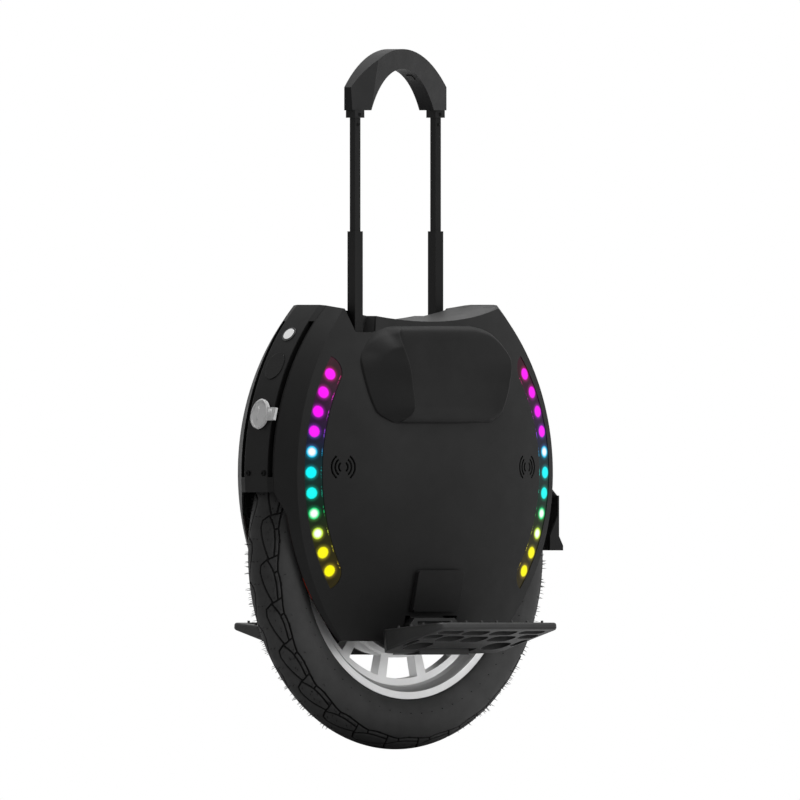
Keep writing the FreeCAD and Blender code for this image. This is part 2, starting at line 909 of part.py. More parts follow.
def well_cut():
    """What is taken off the panel on the wheel side, below the covers."""
    y0 = -overrun
    points = [Vec(-far, y0, -overrun), Vec(-far, well_edge, -overrun),
              Vec(-far, well_edge, well_edge_height), Vec(-far, cover_half_width, cover_foot),
              Vec(-far, y0, cover_foot)]
    return prism(points, Vec(2 * far, 0, 0))


def guide_relief():
    """Room for the guide of the front tube where it runs close to the panel's skin."""
    half = guide_size / 2 + guide_room
    return box(tube_x - half, tube_x + half, tube_y - half, tube_y + half, guide_bottom, notch_floor)


def side_panel():
    start = cover_half_width + seam
    shell = side_solid(0, start)
    hollow = side_solid(wall, 0).cut(box(-far, far, -overrun, far, -overrun, panel_foot + panel_floor))
    below = box(-far, far, -overrun, tongue_start, -overrun, panel_foot)
    under = box(-far, far, tongue_start, far, -overrun, panel_foot)
    under = under.cut(rod_y(0, tongue_centre_height, tongue_radius, 0, far))
    gap = box(-panel_cutout_half, panel_cutout_half, 0, far, -overrun, panel_cutout_top)
    cuts = [hollow, saddle(0), below, under, gap, well_cut(), notch(), guide_relief()]
    for sign in (-1, 1):
        cuts.append(lens_prism(lens_gap, sign))
        cuts.extend(sound_slots(sign))
    panel = shell
    for cut in cuts:
        panel = panel.cut(cut)
    return panel


def inner_case(turn_back):
    """Left wheel well half; turned back it is the right one."""
    plate = rings([(case_inner_half, 0), (case_outer, 0), (case_outer, case_radius),
                   (case_inner_half, case_radius)])
    plate = plate.common(box(-far, far, 0, far, panel_foot + panel_floor, case_top))
    plate = plate.cut(rod_y(0, axle_height, case_axle_hole, 0, far))
    top = arch_radius + arch_thick
    arch = spin([(seam / 2, arch_radius), (case_inner_half, arch_radius),
                 (case_inner_half, top), (seam / 2, top)])
    arch = arch.common(rings([(0, 0), (case_inner_half, 0), (case_inner_half, case_radius),
                              (cover_half_width, arch_envelope), (0, arch_envelope)]))
    front_end, rear_end = arch_front_end, arch_rear_end
    if turn_back:
        front_end, rear_end = rear_end, front_end
    arch = arch.cut(box(0, far, -far, far, -overrun, front_end))
    arch = arch.cut(box(-far, 0, -far, far, -overrun, rear_end))
    case = plate.fuse(arch).removeSplitter()
    if turn_back:
        case = turned(case)
    for rod in guard_screw_rods(screw_radius + screw_clearance, -screw_depth, overrun):
        case = case.cut(rod)
    return case


def panel_seal():
    y0 = well_edge - seal_depth
    outer = rings([(y0, 0), (well_edge, 0), (well_edge, case_radius + seal_width),
                   (y0, case_radius + seal_width)])
    inner = rings([(0, 0), (far, 0), (far, case_radius), (0, case_radius)])
    band = outer.cut(inner)
    return band.common(box(-far, far, 0, far, panel_foot, well_edge_height))


def cover_profile():
    return [(-cover_half_width, cover_flange_radius), (-cover_half_width, bevel_radius),
            (-front_face_half, front_face_radius), (front_face_half, front_face_radius),
            (cover_half_width, bevel_radius), (cover_half_width, cover_flange_radius),
            (cover_skin_half, cover_flange_radius), (cover_skin_half, front_face_radius - wall),
            (-cover_skin_half, front_face_radius - wall), (-cover_skin_half, cover_flange_radius)]


def cover_groove(foot):
    top = front_face_radius + overrun
    groove = spin([(groove_inner, groove_floor_radius), (groove_outer, groove_floor_radius),
                   (groove_outer, top), (groove_inner, top)], -ring_offset, ring_height)
    rib0 = groove_rib_at - groove_rib_half
    rib1 = groove_rib_at + groove_rib_half
    rib = spin([(rib0, 0), (rib1, 0), (rib1, groove_rib_radius), (rib0, groove_rib_radius)],
               -ring_offset, ring_height)
    groove = groove.cut(rib).common(box(0, far, -far, far, foot + groove_foot_rise, groove_top))
    return [groove, mirrored(groove)]


def cover_blank(foot, clear):
    """The moulding both covers start from, on the front side."""
    ring = spin(cover_profile(), -ring_offset, ring_height)
    ring = ring.common(box(0, far, -far, far, foot, far))
    ring = ring.cut(saddle(0))
    ring = ring.cut(rod_y(0, axle_height, clear, -far, far))
    for cut in cover_groove(foot):
        ring = ring.cut(cut)
    return ring


def face_frame(height):
    """Point on the front face at a height, outward normal and upward tangent."""
    rise = (height - ring_height) / front_face_radius
    run = math.sqrt(1 - rise * rise)
    point = Vec(front_face_radius * run - ring_offset, 0, height)
    return point, Vec(run, 0, rise), Vec(-rise, 0, run)


def face_rod(height, radius, start, end):
    point, normal, up = face_frame(height)
    return Part.makeCylinder(radius, end - start, point + normal * start, normal)


def face_oval(height, half_width, half_height, start, end):
    """Oval plug on the front face, from start to end along its normal."""
    point, normal, up = face_frame(height)
    centre = point + normal * start
    side = Vec(0, 1, 0)
    flank = half_width * root_half
    crown = half_height * root_half

    def at(a, b):
        return centre + side * a + up * b

    points = [at(-half_width, 0), (at(-flank, crown), at(0, half_height)),
              (at(flank, crown), at(half_width, 0)), (at(flank, -crown), at(0, -half_height)),
              (at(-flank, -crown), at(-half_width, 0))]
    return prism(points, normal * (end - start))


def cover_screw_rods(foot, radius, start, end):
    rods = []
    for side in (-cover_screw_side, cover_screw_side):
        rod = face_rod(foot + cover_screw_rise, radius, start, end)
        rod.translate(Vec(0, side, 0))
        rods.append(rod)
    return rods


def front_cover():
    cover = cover_blank(cover_foot, front_cover_clear)
    reach = housing_depth + overrun
    cuts = [face_rod(button_at, housing_radius + fit_gap, -reach, overrun),
            face_oval(lamp_at, lamp_half_width + lamp_gap, lamp_half_height + lamp_gap, -reach, overrun),
            face_rod(port_at, socket_radius + fit_gap, -reach, overrun)]
    cuts.extend(cover_screw_rods(cover_foot, screw_radius + screw_clearance, -reach, overrun))
    for cut in cuts:
        cover = cover.cut(cut)
    return cover


def rear_cover():
    cover = cover_blank(rear_cover_foot, rear_cover_clear)
    reach = housing_depth + overrun
    cuts = [face_oval(lamp_at, lamp_half_width + lamp_gap, lamp_half_height + lamp_gap, -reach, overrun)]
    cuts.extend(cover_screw_rods(rear_cover_foot, screw_radius + screw_clearance, -reach, overrun))
    for cut in cuts:
        cover = cover.cut(cut)
    return rear_of(cover)


def cover_screws():
    screws = []
    for foot in (cover_foot, rear_cover_foot):
        shanks = cover_screw_rods(foot, screw_radius, -wall, 0)
        heads = cover_screw_rods(foot, screw_head_radius, 0, screw_head_height / 2)
        for shank, head in zip(shanks, heads):
            screw = shank.fuse(head)
            if foot == rear_cover_foot:
                screw = rear_of(screw)
            screws.append(screw)
    return Part.makeCompound(screws)


def pocket_liner():
    """Back, ends and floor of the pocket round the front tube, with a hole for the tube."""
    start = pocket_back - pocket_lip
    foot = notch_floor - pocket_lip
    points = [Vec(notch_floor_rear - pocket_lip, start, foot),
              Vec(notch_floor_front + pocket_lip, start, foot),
              Vec(notch_top_front + pocket_lip, start, notch_top),
              Vec(notch_top_rear - pocket_lip, start, notch_top)]
    half = middle_size / 2 + pocket_hole_gap
    hole = box(tube_x - half, tube_x + half, tube_y - half, tube_y + half, foot - overrun, notch_top)
    block = prism(points, Vec(0, envelope_reach, 0))
    return block.cut(saddle(0)).cut(notch()).cut(hole)


def top_deck():
    inset = wall * bevel_length_share + lens_gap
    start = cover_half_width + seam
    cap = bevel_at(envelope_reach) - inset
    middle = cover_flange_radius - seam
    edge = cover_skin_half - seam
    end = front_face_radius - wall - seam
    profile = [(-envelope_reach, 0), (-envelope_reach, cap), (-start, bevel_at(start) - inset),
               (-start, middle), (-edge, middle), (-edge, end), (edge, end), (edge, middle),
               (start, middle), (start, bevel_at(start) - inset),
               (envelope_reach, cap), (envelope_reach, 0)]
    inside = rings(profile).common(side_ball(wall + lens_gap))
    inside = inside.common(turned(side_ball(wall + lens_gap)))
    deck = inside.common(saddle(wall).cut(saddle(0)))
    for cut in notches():
        deck = deck.cut(cut)
    liner = pocket_liner().common(inside)
    return deck.multiFuse([liner, turned(liner)]).removeSplitter()


def pad_section(level):
    rise, half, front, ridge_at, ridge, middle, rear = level
    height = body_centre_height + rise

    def skin(x, proud):
        run = x * x + rise ** 2
        radius = side_radius + proud
        return side_bulge - side_radius + math.sqrt(radius * radius - run)

    def at(x, proud):
        return Vec(x, skin(x, proud), height)

    bend_x = half - (half - ridge_at) * (1 - pad_round_share)
    bend_y = skin(half, front) + (skin(ridge_at, ridge) - skin(half, front)) * pad_round_share
    foot = middle + (ridge - middle) * pad_wall_foot_share
    ramp = middle + (rear - middle) * pad_ramp_rise_share
    points = [Vec(-half, pad_root, height), at(-half, rear),
              (at(-half * pad_ramp_middle_share, ramp), at(-half * pad_ramp_share, middle)),
              at(ridge_at * pad_wall_share, foot), at(ridge_at, ridge),
              (Vec(bend_x, bend_y, height), at(half, front)), Vec(half, pad_root, height)]
    return path(points)


def knee_pad():
    solid = Part.makeLoft([pad_section(level) for level in pad_levels], True, False)
    return solid.cut(side_ball(0))


def hanger_cover():
    block = box(-hanger_cover_half, hanger_cover_half, 0, envelope_reach,
                hanger_cover_foot, hanger_cover_top)
    edges = [e for e in block.Edges if abs(e.tangentAt(e.FirstParameter).y) > root_half]
    block = block.makeFillet(hanger_cover_corner, edges)
    return block.common(side_ball(-hanger_cover_rise).cut(side_ball(0)))


# Fittings of the covers

def button_housing():
    sleeve = face_rod(button_at, housing_radius, -housing_depth, housing_lip)
    bore = face_rod(button_at, button_radius + button_gap, housing_floor - housing_depth, overrun)
    return sleeve.cut(bore)


def power_button():
    return face_rod(button_at, button_radius, button_proud - button_length, button_proud)


def headlight_lens():
    return face_oval(lamp_at, lamp_half_width, lamp_half_height, -lamp_depth, lamp_proud)


def headlight_module():
    return face_rod(lamp_at, module_radius, -lamp_depth - module_depth, -lamp_depth)


def charge_socket():
    sleeve = face_rod(port_at, socket_radius, -socket_depth, 0)
    bore = face_rod(port_at, socket_bore, socket_floor - socket_depth, overrun)
    return sleeve.cut(bore)


def port_cap():
    lid = face_oval(port_at, cap_half_width, cap_half_height, cap_lift, cap_lift + cap_thick)
    point, normal, up = face_frame(port_at)
    corner = point + normal * cap_lift - up * cap_tab_half
    end = cap_hinge_side + cap_tab_end
    tab = prism([corner, corner + up * (2 * cap_tab_half),
                 corner + up * (2 * cap_tab_half) + Vec(0, end, 0), corner + Vec(0, end, 0)],
                normal * cap_thick)
    return lid.fuse(tab).removeSplitter()


# Trolley

def square_tube(size, inner, z0, z1):
    half = size / 2
    outer = box(tube_x - half, tube_x + half, tube_y - half, tube_y + half, z0, z1)
    hole = inner / 2
    bore = box(tube_x - hole, tube_x + hole, tube_y - hole, tube_y + hole, z0 - overrun, z1 + overrun)
    return outer.cut(bore)


def pair(shape):
    return Part.makeCompound([shape, turned(shape)])


def trolley_guides():
    bore = middle_size + 2 * guide_gap
    tube = square_tube(guide_size, bore, guide_bottom, guide_top)
    half = guide_size / 2
    plug = box(tube_x - half, tube_x + half, tube_y - half, tube_y + half,
               guide_bottom - guide_plug, guide_bottom)
    foot = box(tube_x - half, tube_x + half, case_outer, tube_y,
               guide_bottom - guide_plug, guide_bottom)
    return pair(tube.fuse([plug, foot]).removeSplitter())


def middle_tubes():
    return pair(square_tube(middle_size, middle_size - 2 * middle_wall, middle_bottom, middle_top))


def inner_tubes():
    return pair(square_tube(inner_size, inner_size - 2 * inner_wall, inner_bottom, collar_top))


def collars():
    half = collar_size / 2
    block = box(tube_x - half, tube_x + half, tube_y - half, tube_y + half, collar_bottom, collar_top)
    hole = inner_size / 2
    block = block.cut(box(tube_x - hole, tube_x + hole, tube_y - hole, tube_y + hole,
                          collar_bottom - overrun, collar_top + overrun))
    return pair(block)


def grip_axes():
    along = Vec(tube_x / tube_span, tube_y / tube_span, 0)
    return along, Vec(-along.y, along.x, 0)


def grip_facet():
    """Half space cut off the outer corner of the front leg of the grip."""
    along, across = grip_axes()
    half = grip_width / 2
    low_end = along * grip_half + across * grip_facet_low_end + Vec(0, 0, collar_top)
    low_inner = along * grip_opening_half + across * half + Vec(0, 0, collar_top)
    high = along * grip_facet_high_reach + across * half + Vec(0, 0, grip_facet_high)
    first = low_inner - low_end
    second = high - low_end
    normal = first.cross(second)
    normal.normalize()
    if normal.dot(across) < 0:
        normal = normal * -1
    first.normalize()
    second = normal.cross(first)
    corner = low_end - first * far - second * far
    points = [corner, corner + first * (2 * far), corner + first * (2 * far) + second * (2 * far),
              corner + second * (2 * far)]
    slab = prism(points, normal * far)
    keep = prism([along * 0 - across * far, along * far - across * far, along * far + across * far,
                  along * 0 + across * far], Vec(0, 0, far + far))
    return slab.common(keep)


def grip_underside(reach):
    """Point of the grip's opening at a reach from its middle, and its outward normal."""
    rise = grip_opening_top - collar_top
    radius = (grip_opening_half ** 2 + rise ** 2) / (2 * rise)
    centre = grip_opening_top - radius
    height = centre + math.sqrt(radius ** 2 - reach ** 2)
    along, across = grip_axes()
    point = along * reach + Vec(0, 0, height)
    normal = (Vec(0, 0, centre) - point)
    normal.normalize()
    return point, normal


def button_block(half, half_width, start, end):
    """Block on the underside of the rear half of the grip, start to end along the normal."""
    along, across = grip_axes()
    point, normal = grip_underside(-grip_slope_at)
    side = across.cross(normal)
    corner = point + normal * start - side * half - across * half_width
    points = [corner, corner + side * (2 * half), corner + side * (2 * half) + across * (2 * half_width),
              corner + across * (2 * half_width)]
    return prism(points, normal * (end - start))


def trolley_grip():
    along, across = grip_axes()
    start = across * (-grip_width / 2)

    def at(reach, height):
        return along * reach + start + Vec(0, 0, height)

    points = [at(-grip_half, collar_top), at(-grip_half, grip_end_top),
              (at(0, grip_top), at(grip_half, grip_end_top)), at(grip_half, collar_top),
              at(grip_opening_half, collar_top),
              (at(0, grip_opening_top), at(-grip_opening_half, collar_top))]
    body = prism(points, across * grip_width)
    facet = grip_facet()
    body = body.cut(facet).cut(turned(facet))
    room = button_block(grip_button_half + grip_button_gap, grip_button_half_width + grip_button_gap,
                        -grip_button_depth - grip_button_travel - grip_button_gap, overrun)
    return body.cut(room)


def grip_button():
    return button_block(grip_button_half, grip_button_half_width, -grip_button_depth, grip_button_proud)


# Pedals

def pedal_frame(shape):
    """Lift a pedal piece from the flat (X, out, up) frame on the pin to its place."""
    copy = shape.copy()
    copy.rotate(Vec(0, 0, 0), Vec(1, 0, 0), pedal_tilt)
    copy.translate(Vec(0, pin_side, pin_height))
    return copy


def pedal_outline(height):
    bend = pedal_corner * (1 - root_half)
    side = pedal_reach - pedal_corner

    def corners(sign):
        return [Vec(sign * pedal_cutout_half, pedal_cutout_reach, height),
                Vec(sign * pedal_cutout_half, knuckle_inner, height),
                Vec(sign * knuckle_half, knuckle_inner, height),
                Vec(sign * pedal_shoulder_half, pedal_shoulder, height),
                Vec(sign * (pedal_half_length - pedal_end_inner), pedal_shoulder + pedal_end_inner, height),
                Vec(sign * pedal_half_length, 2 * pedal_end_inner, height)]

    right = corners(1)
    left = corners(-1)
    left.reverse()
    points = right + [Vec(pedal_half_length, side, height)]
    points.append((Vec(pedal_half_length - bend, pedal_reach - bend, height),
                   Vec(pedal_half_length - pedal_corner, pedal_reach, height)))
    points.append(Vec(-pedal_half_length + pedal_corner, pedal_reach, height))
    points.append((Vec(-pedal_half_length + bend, pedal_reach - bend, height),
                   Vec(-pedal_half_length, side, height)))
    return points + left


def pedal_pocket(middle, half, inner, outer):
    cell = box(middle - half, middle + half, inner, outer, pedal_inner_bottom - overrun,
               pedal_top - pedal_plate)
    uprights = [e for e in cell.Edges if abs(e.tangentAt(e.FirstParameter).z) > root_half]
    return cell.makeFillet(min(2 * half, outer - inner) * pocket_round_share, uprights)


def pedal_pockets():
    pockets = [pedal_pocket(*pocket_middle)]
    for middle, half, inner, outer in pocket_cells:
        pockets.append(pedal_pocket(middle, half, inner, outer))
        pockets.append(pedal_pocket(-middle, half, inner, outer))
    return pockets


def pedal_rim(body):
    """Upper and lower edges of the pedal's outer side and ends."""
    rim = []
    for edge in body.Edges:
        middle = edge.valueAt((edge.FirstParameter + edge.LastParameter) / 2)
        upright = abs(edge.tangentAt(edge.FirstParameter).z) > root_half
        at_end = abs(middle.x) > pedal_half_length - pedal_corner and middle.y > 2 * pedal_end_inner
        if not upright and (at_end or middle.y > pedal_reach - pedal_corner):
            rim.append(edge)
    return rim


def pedal():
    body = prism(pedal_outline(pedal_inner_bottom), Vec(0, 0, pedal_top - pedal_inner_bottom))
    slope = (pedal_outer_bottom - pedal_inner_bottom) / pedal_reach
    low = -far
    under = prism([Vec(low, 0, pedal_inner_bottom), Vec(low, far, pedal_inner_bottom + slope * far),
                   Vec(low, far, -far), Vec(low, 0, -far)], Vec(2 * far, 0, 0))
    body = body.cut(under)
    body = body.makeFillet(pedal_edge_round, pedal_rim(body))
    body = body.cut(Part.makeCompound(pedal_pockets()))
    bore = rod_x(0, 0, pin_radius + joint_gap, -far, far)
    bore = bore.common(box(-pin_half_length - joint_gap, pin_half_length + joint_gap, -far, far, -far, far))
    return pedal_frame(body.cut(bore))


def grip_sheet():
    sheet = box(-grip_half_length, grip_half_length, grip_inner, grip_outer,
                pedal_top, pedal_top + grip_thick)
    uprights = [e for e in sheet.Edges if abs(e.tangentAt(e.FirstParameter).z) > root_half]
    return pedal_frame(sheet.makeFillet(sheet_corner, uprights))


def pedal_studs():
    studs = []
    spots = [(sign * stud_side_x, out) for sign in (-1, 1) for out in stud_side_positions]
    for i in range(stud_edge_count):
        spots.append((-stud_edge_half + 2 * stud_edge_half * i / (stud_edge_count - 1), stud_edge))
    for x, out in spots:
        stud = Part.makeCylinder(stud_radius, stud_height, Vec(x, out, pedal_top), Vec(0, 0, 1))
        studs.append(pedal_frame(stud))
    return Part.makeCompound(studs)


# Mudguard

def guard_screw_rods(radius, start, end):
    rods = []
    for side in (-guard_screw_side, guard_screw_side):
        rise = guard_screw_at - axle_height
        run = math.sqrt((guard_radius + guard_thick) ** 2 - rise ** 2)
        outward = Vec(-run, 0, rise)
        outward.normalize()
        point = Vec(-run, side, guard_screw_at) + outward * start
        rods.append(Part.makeCylinder(radius, end - start, point, outward))
    return rods


def guard_plate():
    """Side outline of the plate: neck under the rear cover, upright back, flared lip."""
    outer = guard_radius + guard_thick

    def neck(radius, rise):
        return Vec(-math.sqrt(radius ** 2 - rise ** 2), 0, axle_height + rise)

    inner_back = guard_back - guard_thick
    shoulder = axle_height + guard_shoulder_rise
    drop = guard_thick / 2
    points = [neck(outer, guard_neck_top_rise), neck(outer, guard_neck_foot_rise),
              Vec(-guard_back, 0, shoulder), Vec(-guard_back, 0, guard_foot + guard_lip_slope),
              Vec(-guard_back - guard_lip_out, 0, guard_foot + guard_lip_rise),
              Vec(-guard_back - guard_lip_out, 0, guard_foot), Vec(-inner_back, 0, guard_foot),
              Vec(-inner_back, 0, shoulder - drop),
              neck(guard_radius, guard_neck_foot_rise - drop), neck(guard_radius, guard_neck_top_rise)]
    return points


def mudguard():
    plate = prism(guard_plate(), Vec(0, guard_half_width, 0))
    plate = plate.fuse(mirrored(plate)).removeSplitter()
    shoulder = axle_height + guard_shoulder_rise
    for sign in (-1, 1):
        low, high = sorted((sign * guard_neck_half, sign * far))
        plate = plate.cut(box(-far, 0, low, high, shoulder, far))
    y0 = guard_half_width - guard_side_thick
    front = guard_back - guard_side_depth
    inner_back = guard_back - guard_thick
    wing = prism([Vec(-inner_back - guard_thick / 2, y0, guard_foot),
                  Vec(-inner_back - guard_thick / 2, y0, guard_foot + guard_side_rise),
                  Vec(-front, y0, guard_foot + guard_lip_slope), Vec(-front, y0, guard_foot)],
                 Vec(0, guard_side_thick, 0))
    guard = plate.fuse([wing, mirrored(wing)]).removeSplitter()
    return guard.cut(Part.makeCompound(guard_screw_rods(screw_radius + screw_clearance, -overrun, overrun)))


def guard_screws():
    screws = []
    for shank, head in zip(guard_screw_rods(screw_radius, -guard_screw_length, 0),
                           guard_screw_rods(screw_head_radius, 0, screw_head_height / 2)):
        screws.append(shank.fuse(head))
    return Part.makeCompound(screws)


# Inside pieces

def battery_pack():
    return box(-battery_half_length, battery_half_length, case_outer, battery_outer,
               battery_foot, battery_top)


def speakers():
    found = []
    for sign in (-1, 1):
        x = sign * slot_centre_x
        rod = rod_y(x, slot_centre_height, speaker_radius, 0, envelope_reach)
        body = rod.common(side_ball(wall).cut(side_ball(wall + speaker_depth)))
        found.extend([body, turned(body)])
    return Part.makeCompound(found)


def heat_sink():
    base = box(-sink_half_length, sink_half_length, -sink_half_width, sink_half_width,
               sink_foot, sink_foot + sink_base)
    fins = []
    for i in range(sink_fin_count):
        y = -sink_half_width + (2 * sink_half_width - sink_fin_thick) * i / (sink_fin_count - 1)
        fins.append(box(-sink_half_length, sink_half_length, y, y + sink_fin_thick,
                        sink_foot + sink_base, sink_foot + sink_base + sink_fin_height))
    return base.multiFuse(fins).removeSplitter()


def control_board():
    z0 = sink_foot + sink_base + sink_fin_height
    z1 = z0 + control_board_thick
    x = sink_half_length - board_margin
    y = sink_half_width
    plate = box(-x, x, -y, y, z0, z1)
    blocks = []
    for sign in (-1, 1):
        centre = sign * x / 2
        blocks.append(box(centre - chip_block_half, centre + chip_block_half, -chip_block_half,
                          chip_block_half, z1, z1 + chip_block_height))
    return plate.multiFuse(blocks).removeSplitter()


save(tyre(), "tyre")
save(inner_tube(), "inner_tube")
save(valve_stem(), "valve_stem")
save(wheel_rim(), "wheel_rim")
save(magnet_ring(), "magnet_ring")
save(motor_covers(), "motor_covers")
save(motor_cover_screws(), "motor_cover_screws")
save(bearing_ring(bearing_split_radius + bearing_half_gap, bearing_outer_radius), "bearing_outer_rings")
save(bearing_ring(axle_radius + fit_gap, bearing_split_radius), "bearing_inner_rings")
save(axle(), "axle")
save(stator_carrier(), "stator_carrier")
save(stator_core(), "stator_core")
save(stator_windings(), "stator_windings")
save(axle_nuts(), "axle_nuts")
left_hanger = hanger()
save(left_hanger, "left_pedal_hanger")
save(turned(left_hanger), "right_pedal_hanger")
save(pair(pedal_pin()), "pedal_pins")
save(Part.makeCompound([inner_case(False), inner_case(True)]), "inner_cases")
left_seal = panel_seal()
save(pair(left_seal), "panel_seals")
left_panel = side_panel()
save(left_panel, "left_side_panel")
save(turned(left_panel), "right_side_panel")
save(front_cover(), "front_cover")
save(rear_cover(), "rear_cover")
save(cover_screws(), "cover_screws")
save(top_deck(), "top_deck")
left_pad = knee_pad()
save(left_pad, "left_knee_pad")
save(mirrored(left_pad), "right_knee_pad")
save(pair(hanger_cover()), "hanger_covers")
front_lens = lens(1)
rear_lens = lens(-1)
save(front_lens, "left_front_lens")
save(rear_lens, "left_rear_lens")
save(turned(rear_lens), "right_front_lens")
save(turned(front_lens), "right_rear_lens")
boards = [led_board(1), led_board(-1)]
save(Part.makeCompound(boards + [turned(shape) for shape in boards]), "led_boards")
chips = led_chips(1) + led_chips(-1)
save(Part.makeCompound(chips + [turned(shape) for shape in chips]), "led_chips")
save(speakers(), "speakers")
left_battery = battery_pack()
save(left_battery, "left_battery_pack")
save(turned(left_battery), "right_battery_pack")
save(heat_sink(), "heat_sink")
save(control_board(), "control_board")
save(button_housing(), "button_housing")
save(power_button(), "power_button")
save(headlight_lens(), "headlight_lens")
save(headlight_module(), "headlight_module")
save(rear_of(headlight_lens()), "tail_light_lens")
save(charge_socket(), "charge_socket")
save(port_cap(), "port_cap")
save(mudguard(), "mudguard")
save(guard_screws(), "mudguard_screws")
save(trolley_guides(), "trolley_guides")
save(middle_tubes(), "trolley_middle_tubes")
save(inner_tubes(), "trolley_inner_tubes")
save(collars(), "trolley_collars")
save(trolley_grip(), "trolley_grip")
save(grip_button(), "grip_button")
left_pedal = pedal()
save(left_pedal, "left_pedal")
save(turned(left_pedal), "right_pedal")
left_sheet = grip_sheet()
save(left_sheet, "left_grip_sheet")
save(turned(left_sheet), "right_grip_sheet")
left_studs = pedal_studs()
save(left_studs, "left_pedal_studs")
save(turned(left_studs), "right_pedal_studs")
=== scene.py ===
"""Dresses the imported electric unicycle: materials, tread, knee pads, lights, floor and camera."""
import json
import math
import random

import bpy
import numpy as np
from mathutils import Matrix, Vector


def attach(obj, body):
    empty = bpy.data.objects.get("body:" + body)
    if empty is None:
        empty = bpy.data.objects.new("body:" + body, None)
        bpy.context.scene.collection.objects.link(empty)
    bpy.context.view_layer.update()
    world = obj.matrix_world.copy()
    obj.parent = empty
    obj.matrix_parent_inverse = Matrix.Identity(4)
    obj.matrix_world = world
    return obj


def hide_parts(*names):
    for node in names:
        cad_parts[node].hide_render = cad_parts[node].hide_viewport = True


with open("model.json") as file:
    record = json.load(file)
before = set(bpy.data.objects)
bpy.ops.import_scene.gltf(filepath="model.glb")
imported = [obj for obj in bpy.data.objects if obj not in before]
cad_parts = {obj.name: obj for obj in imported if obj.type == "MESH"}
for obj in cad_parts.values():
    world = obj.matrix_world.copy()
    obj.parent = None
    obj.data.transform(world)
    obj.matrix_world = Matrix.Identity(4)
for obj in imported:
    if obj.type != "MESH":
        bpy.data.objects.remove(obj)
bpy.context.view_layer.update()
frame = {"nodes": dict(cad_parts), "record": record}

mm = 0.001
full_turn = 2 * math.pi

# Camera: level, from the front left, parallel projection
camera_turn = 135.8
camera_side = 5.84 * mm
camera_height = 439.0 * mm
camera_distance = 3.0
frame_width = 1005.2 * mm

# Axle, and the ball that the side panel is part of, as in the part's source
axle_height = 245.0 * mm
side_radius = 690.0 * mm
side_centre_y = -599.0 * mm
side_centre_z = 351.0 * mm

# Where the bloom of the tyre's side wall fades, and the band where the seal is red as lit by the side light
# (painted light); elsewhere the seal is painted nearly black as shade
wall_bloom = (226.0 * mm, 240.0 * mm)
seal_lit_height = 202.0 * mm
seal_red = (11.0 * mm, 14.0 * mm)

# Flutes of the lamp lenses and grains of the grip sheets
flute_scale = 160.0
grit_scale = 620.0

# Side lights
light_offset = 33.0 * mm
light_height = 348.0 * mm
chip_radius = 238.0 * mm
chip_angle = math.radians(31.3)
chip_count = 11
inner_edge_radius = 224.3 * mm

# Reach of a chip's lit face, white middle and halo, and of the glints at the lens's inner edge
core_reach = (6.2 * mm, 8.0 * mm)
white_reach = (3.2 * mm, 6.6 * mm)
halo_reach = (6.0 * mm, 13.0 * mm)
halo_power = 2.4
halo_share = 0.42
glint_reach = (0.25 * mm, 1.0 * mm)
glint_half = (3.0 * mm, 8.0 * mm)
glint_most = 0.75
flicker_reach = 0.7 * mm

# Spread of a noise that is mapped to a range, how far a bent normal counts as an edge, wear of the edges, and
# the share of brushed lines in a metal's gloss
noise_low = 0.3
noise_high = 0.7
edge_starts = 0.004
edge_full = 0.12
plastic_wear = {"scale": 140.0, "patch": (0.42, 0.68), "share": 0.6}
metal_wear = {"scale": 190.0, "patch": (0.4, 0.66), "share": 0.7}
line_share = 0.6


# Node helpers

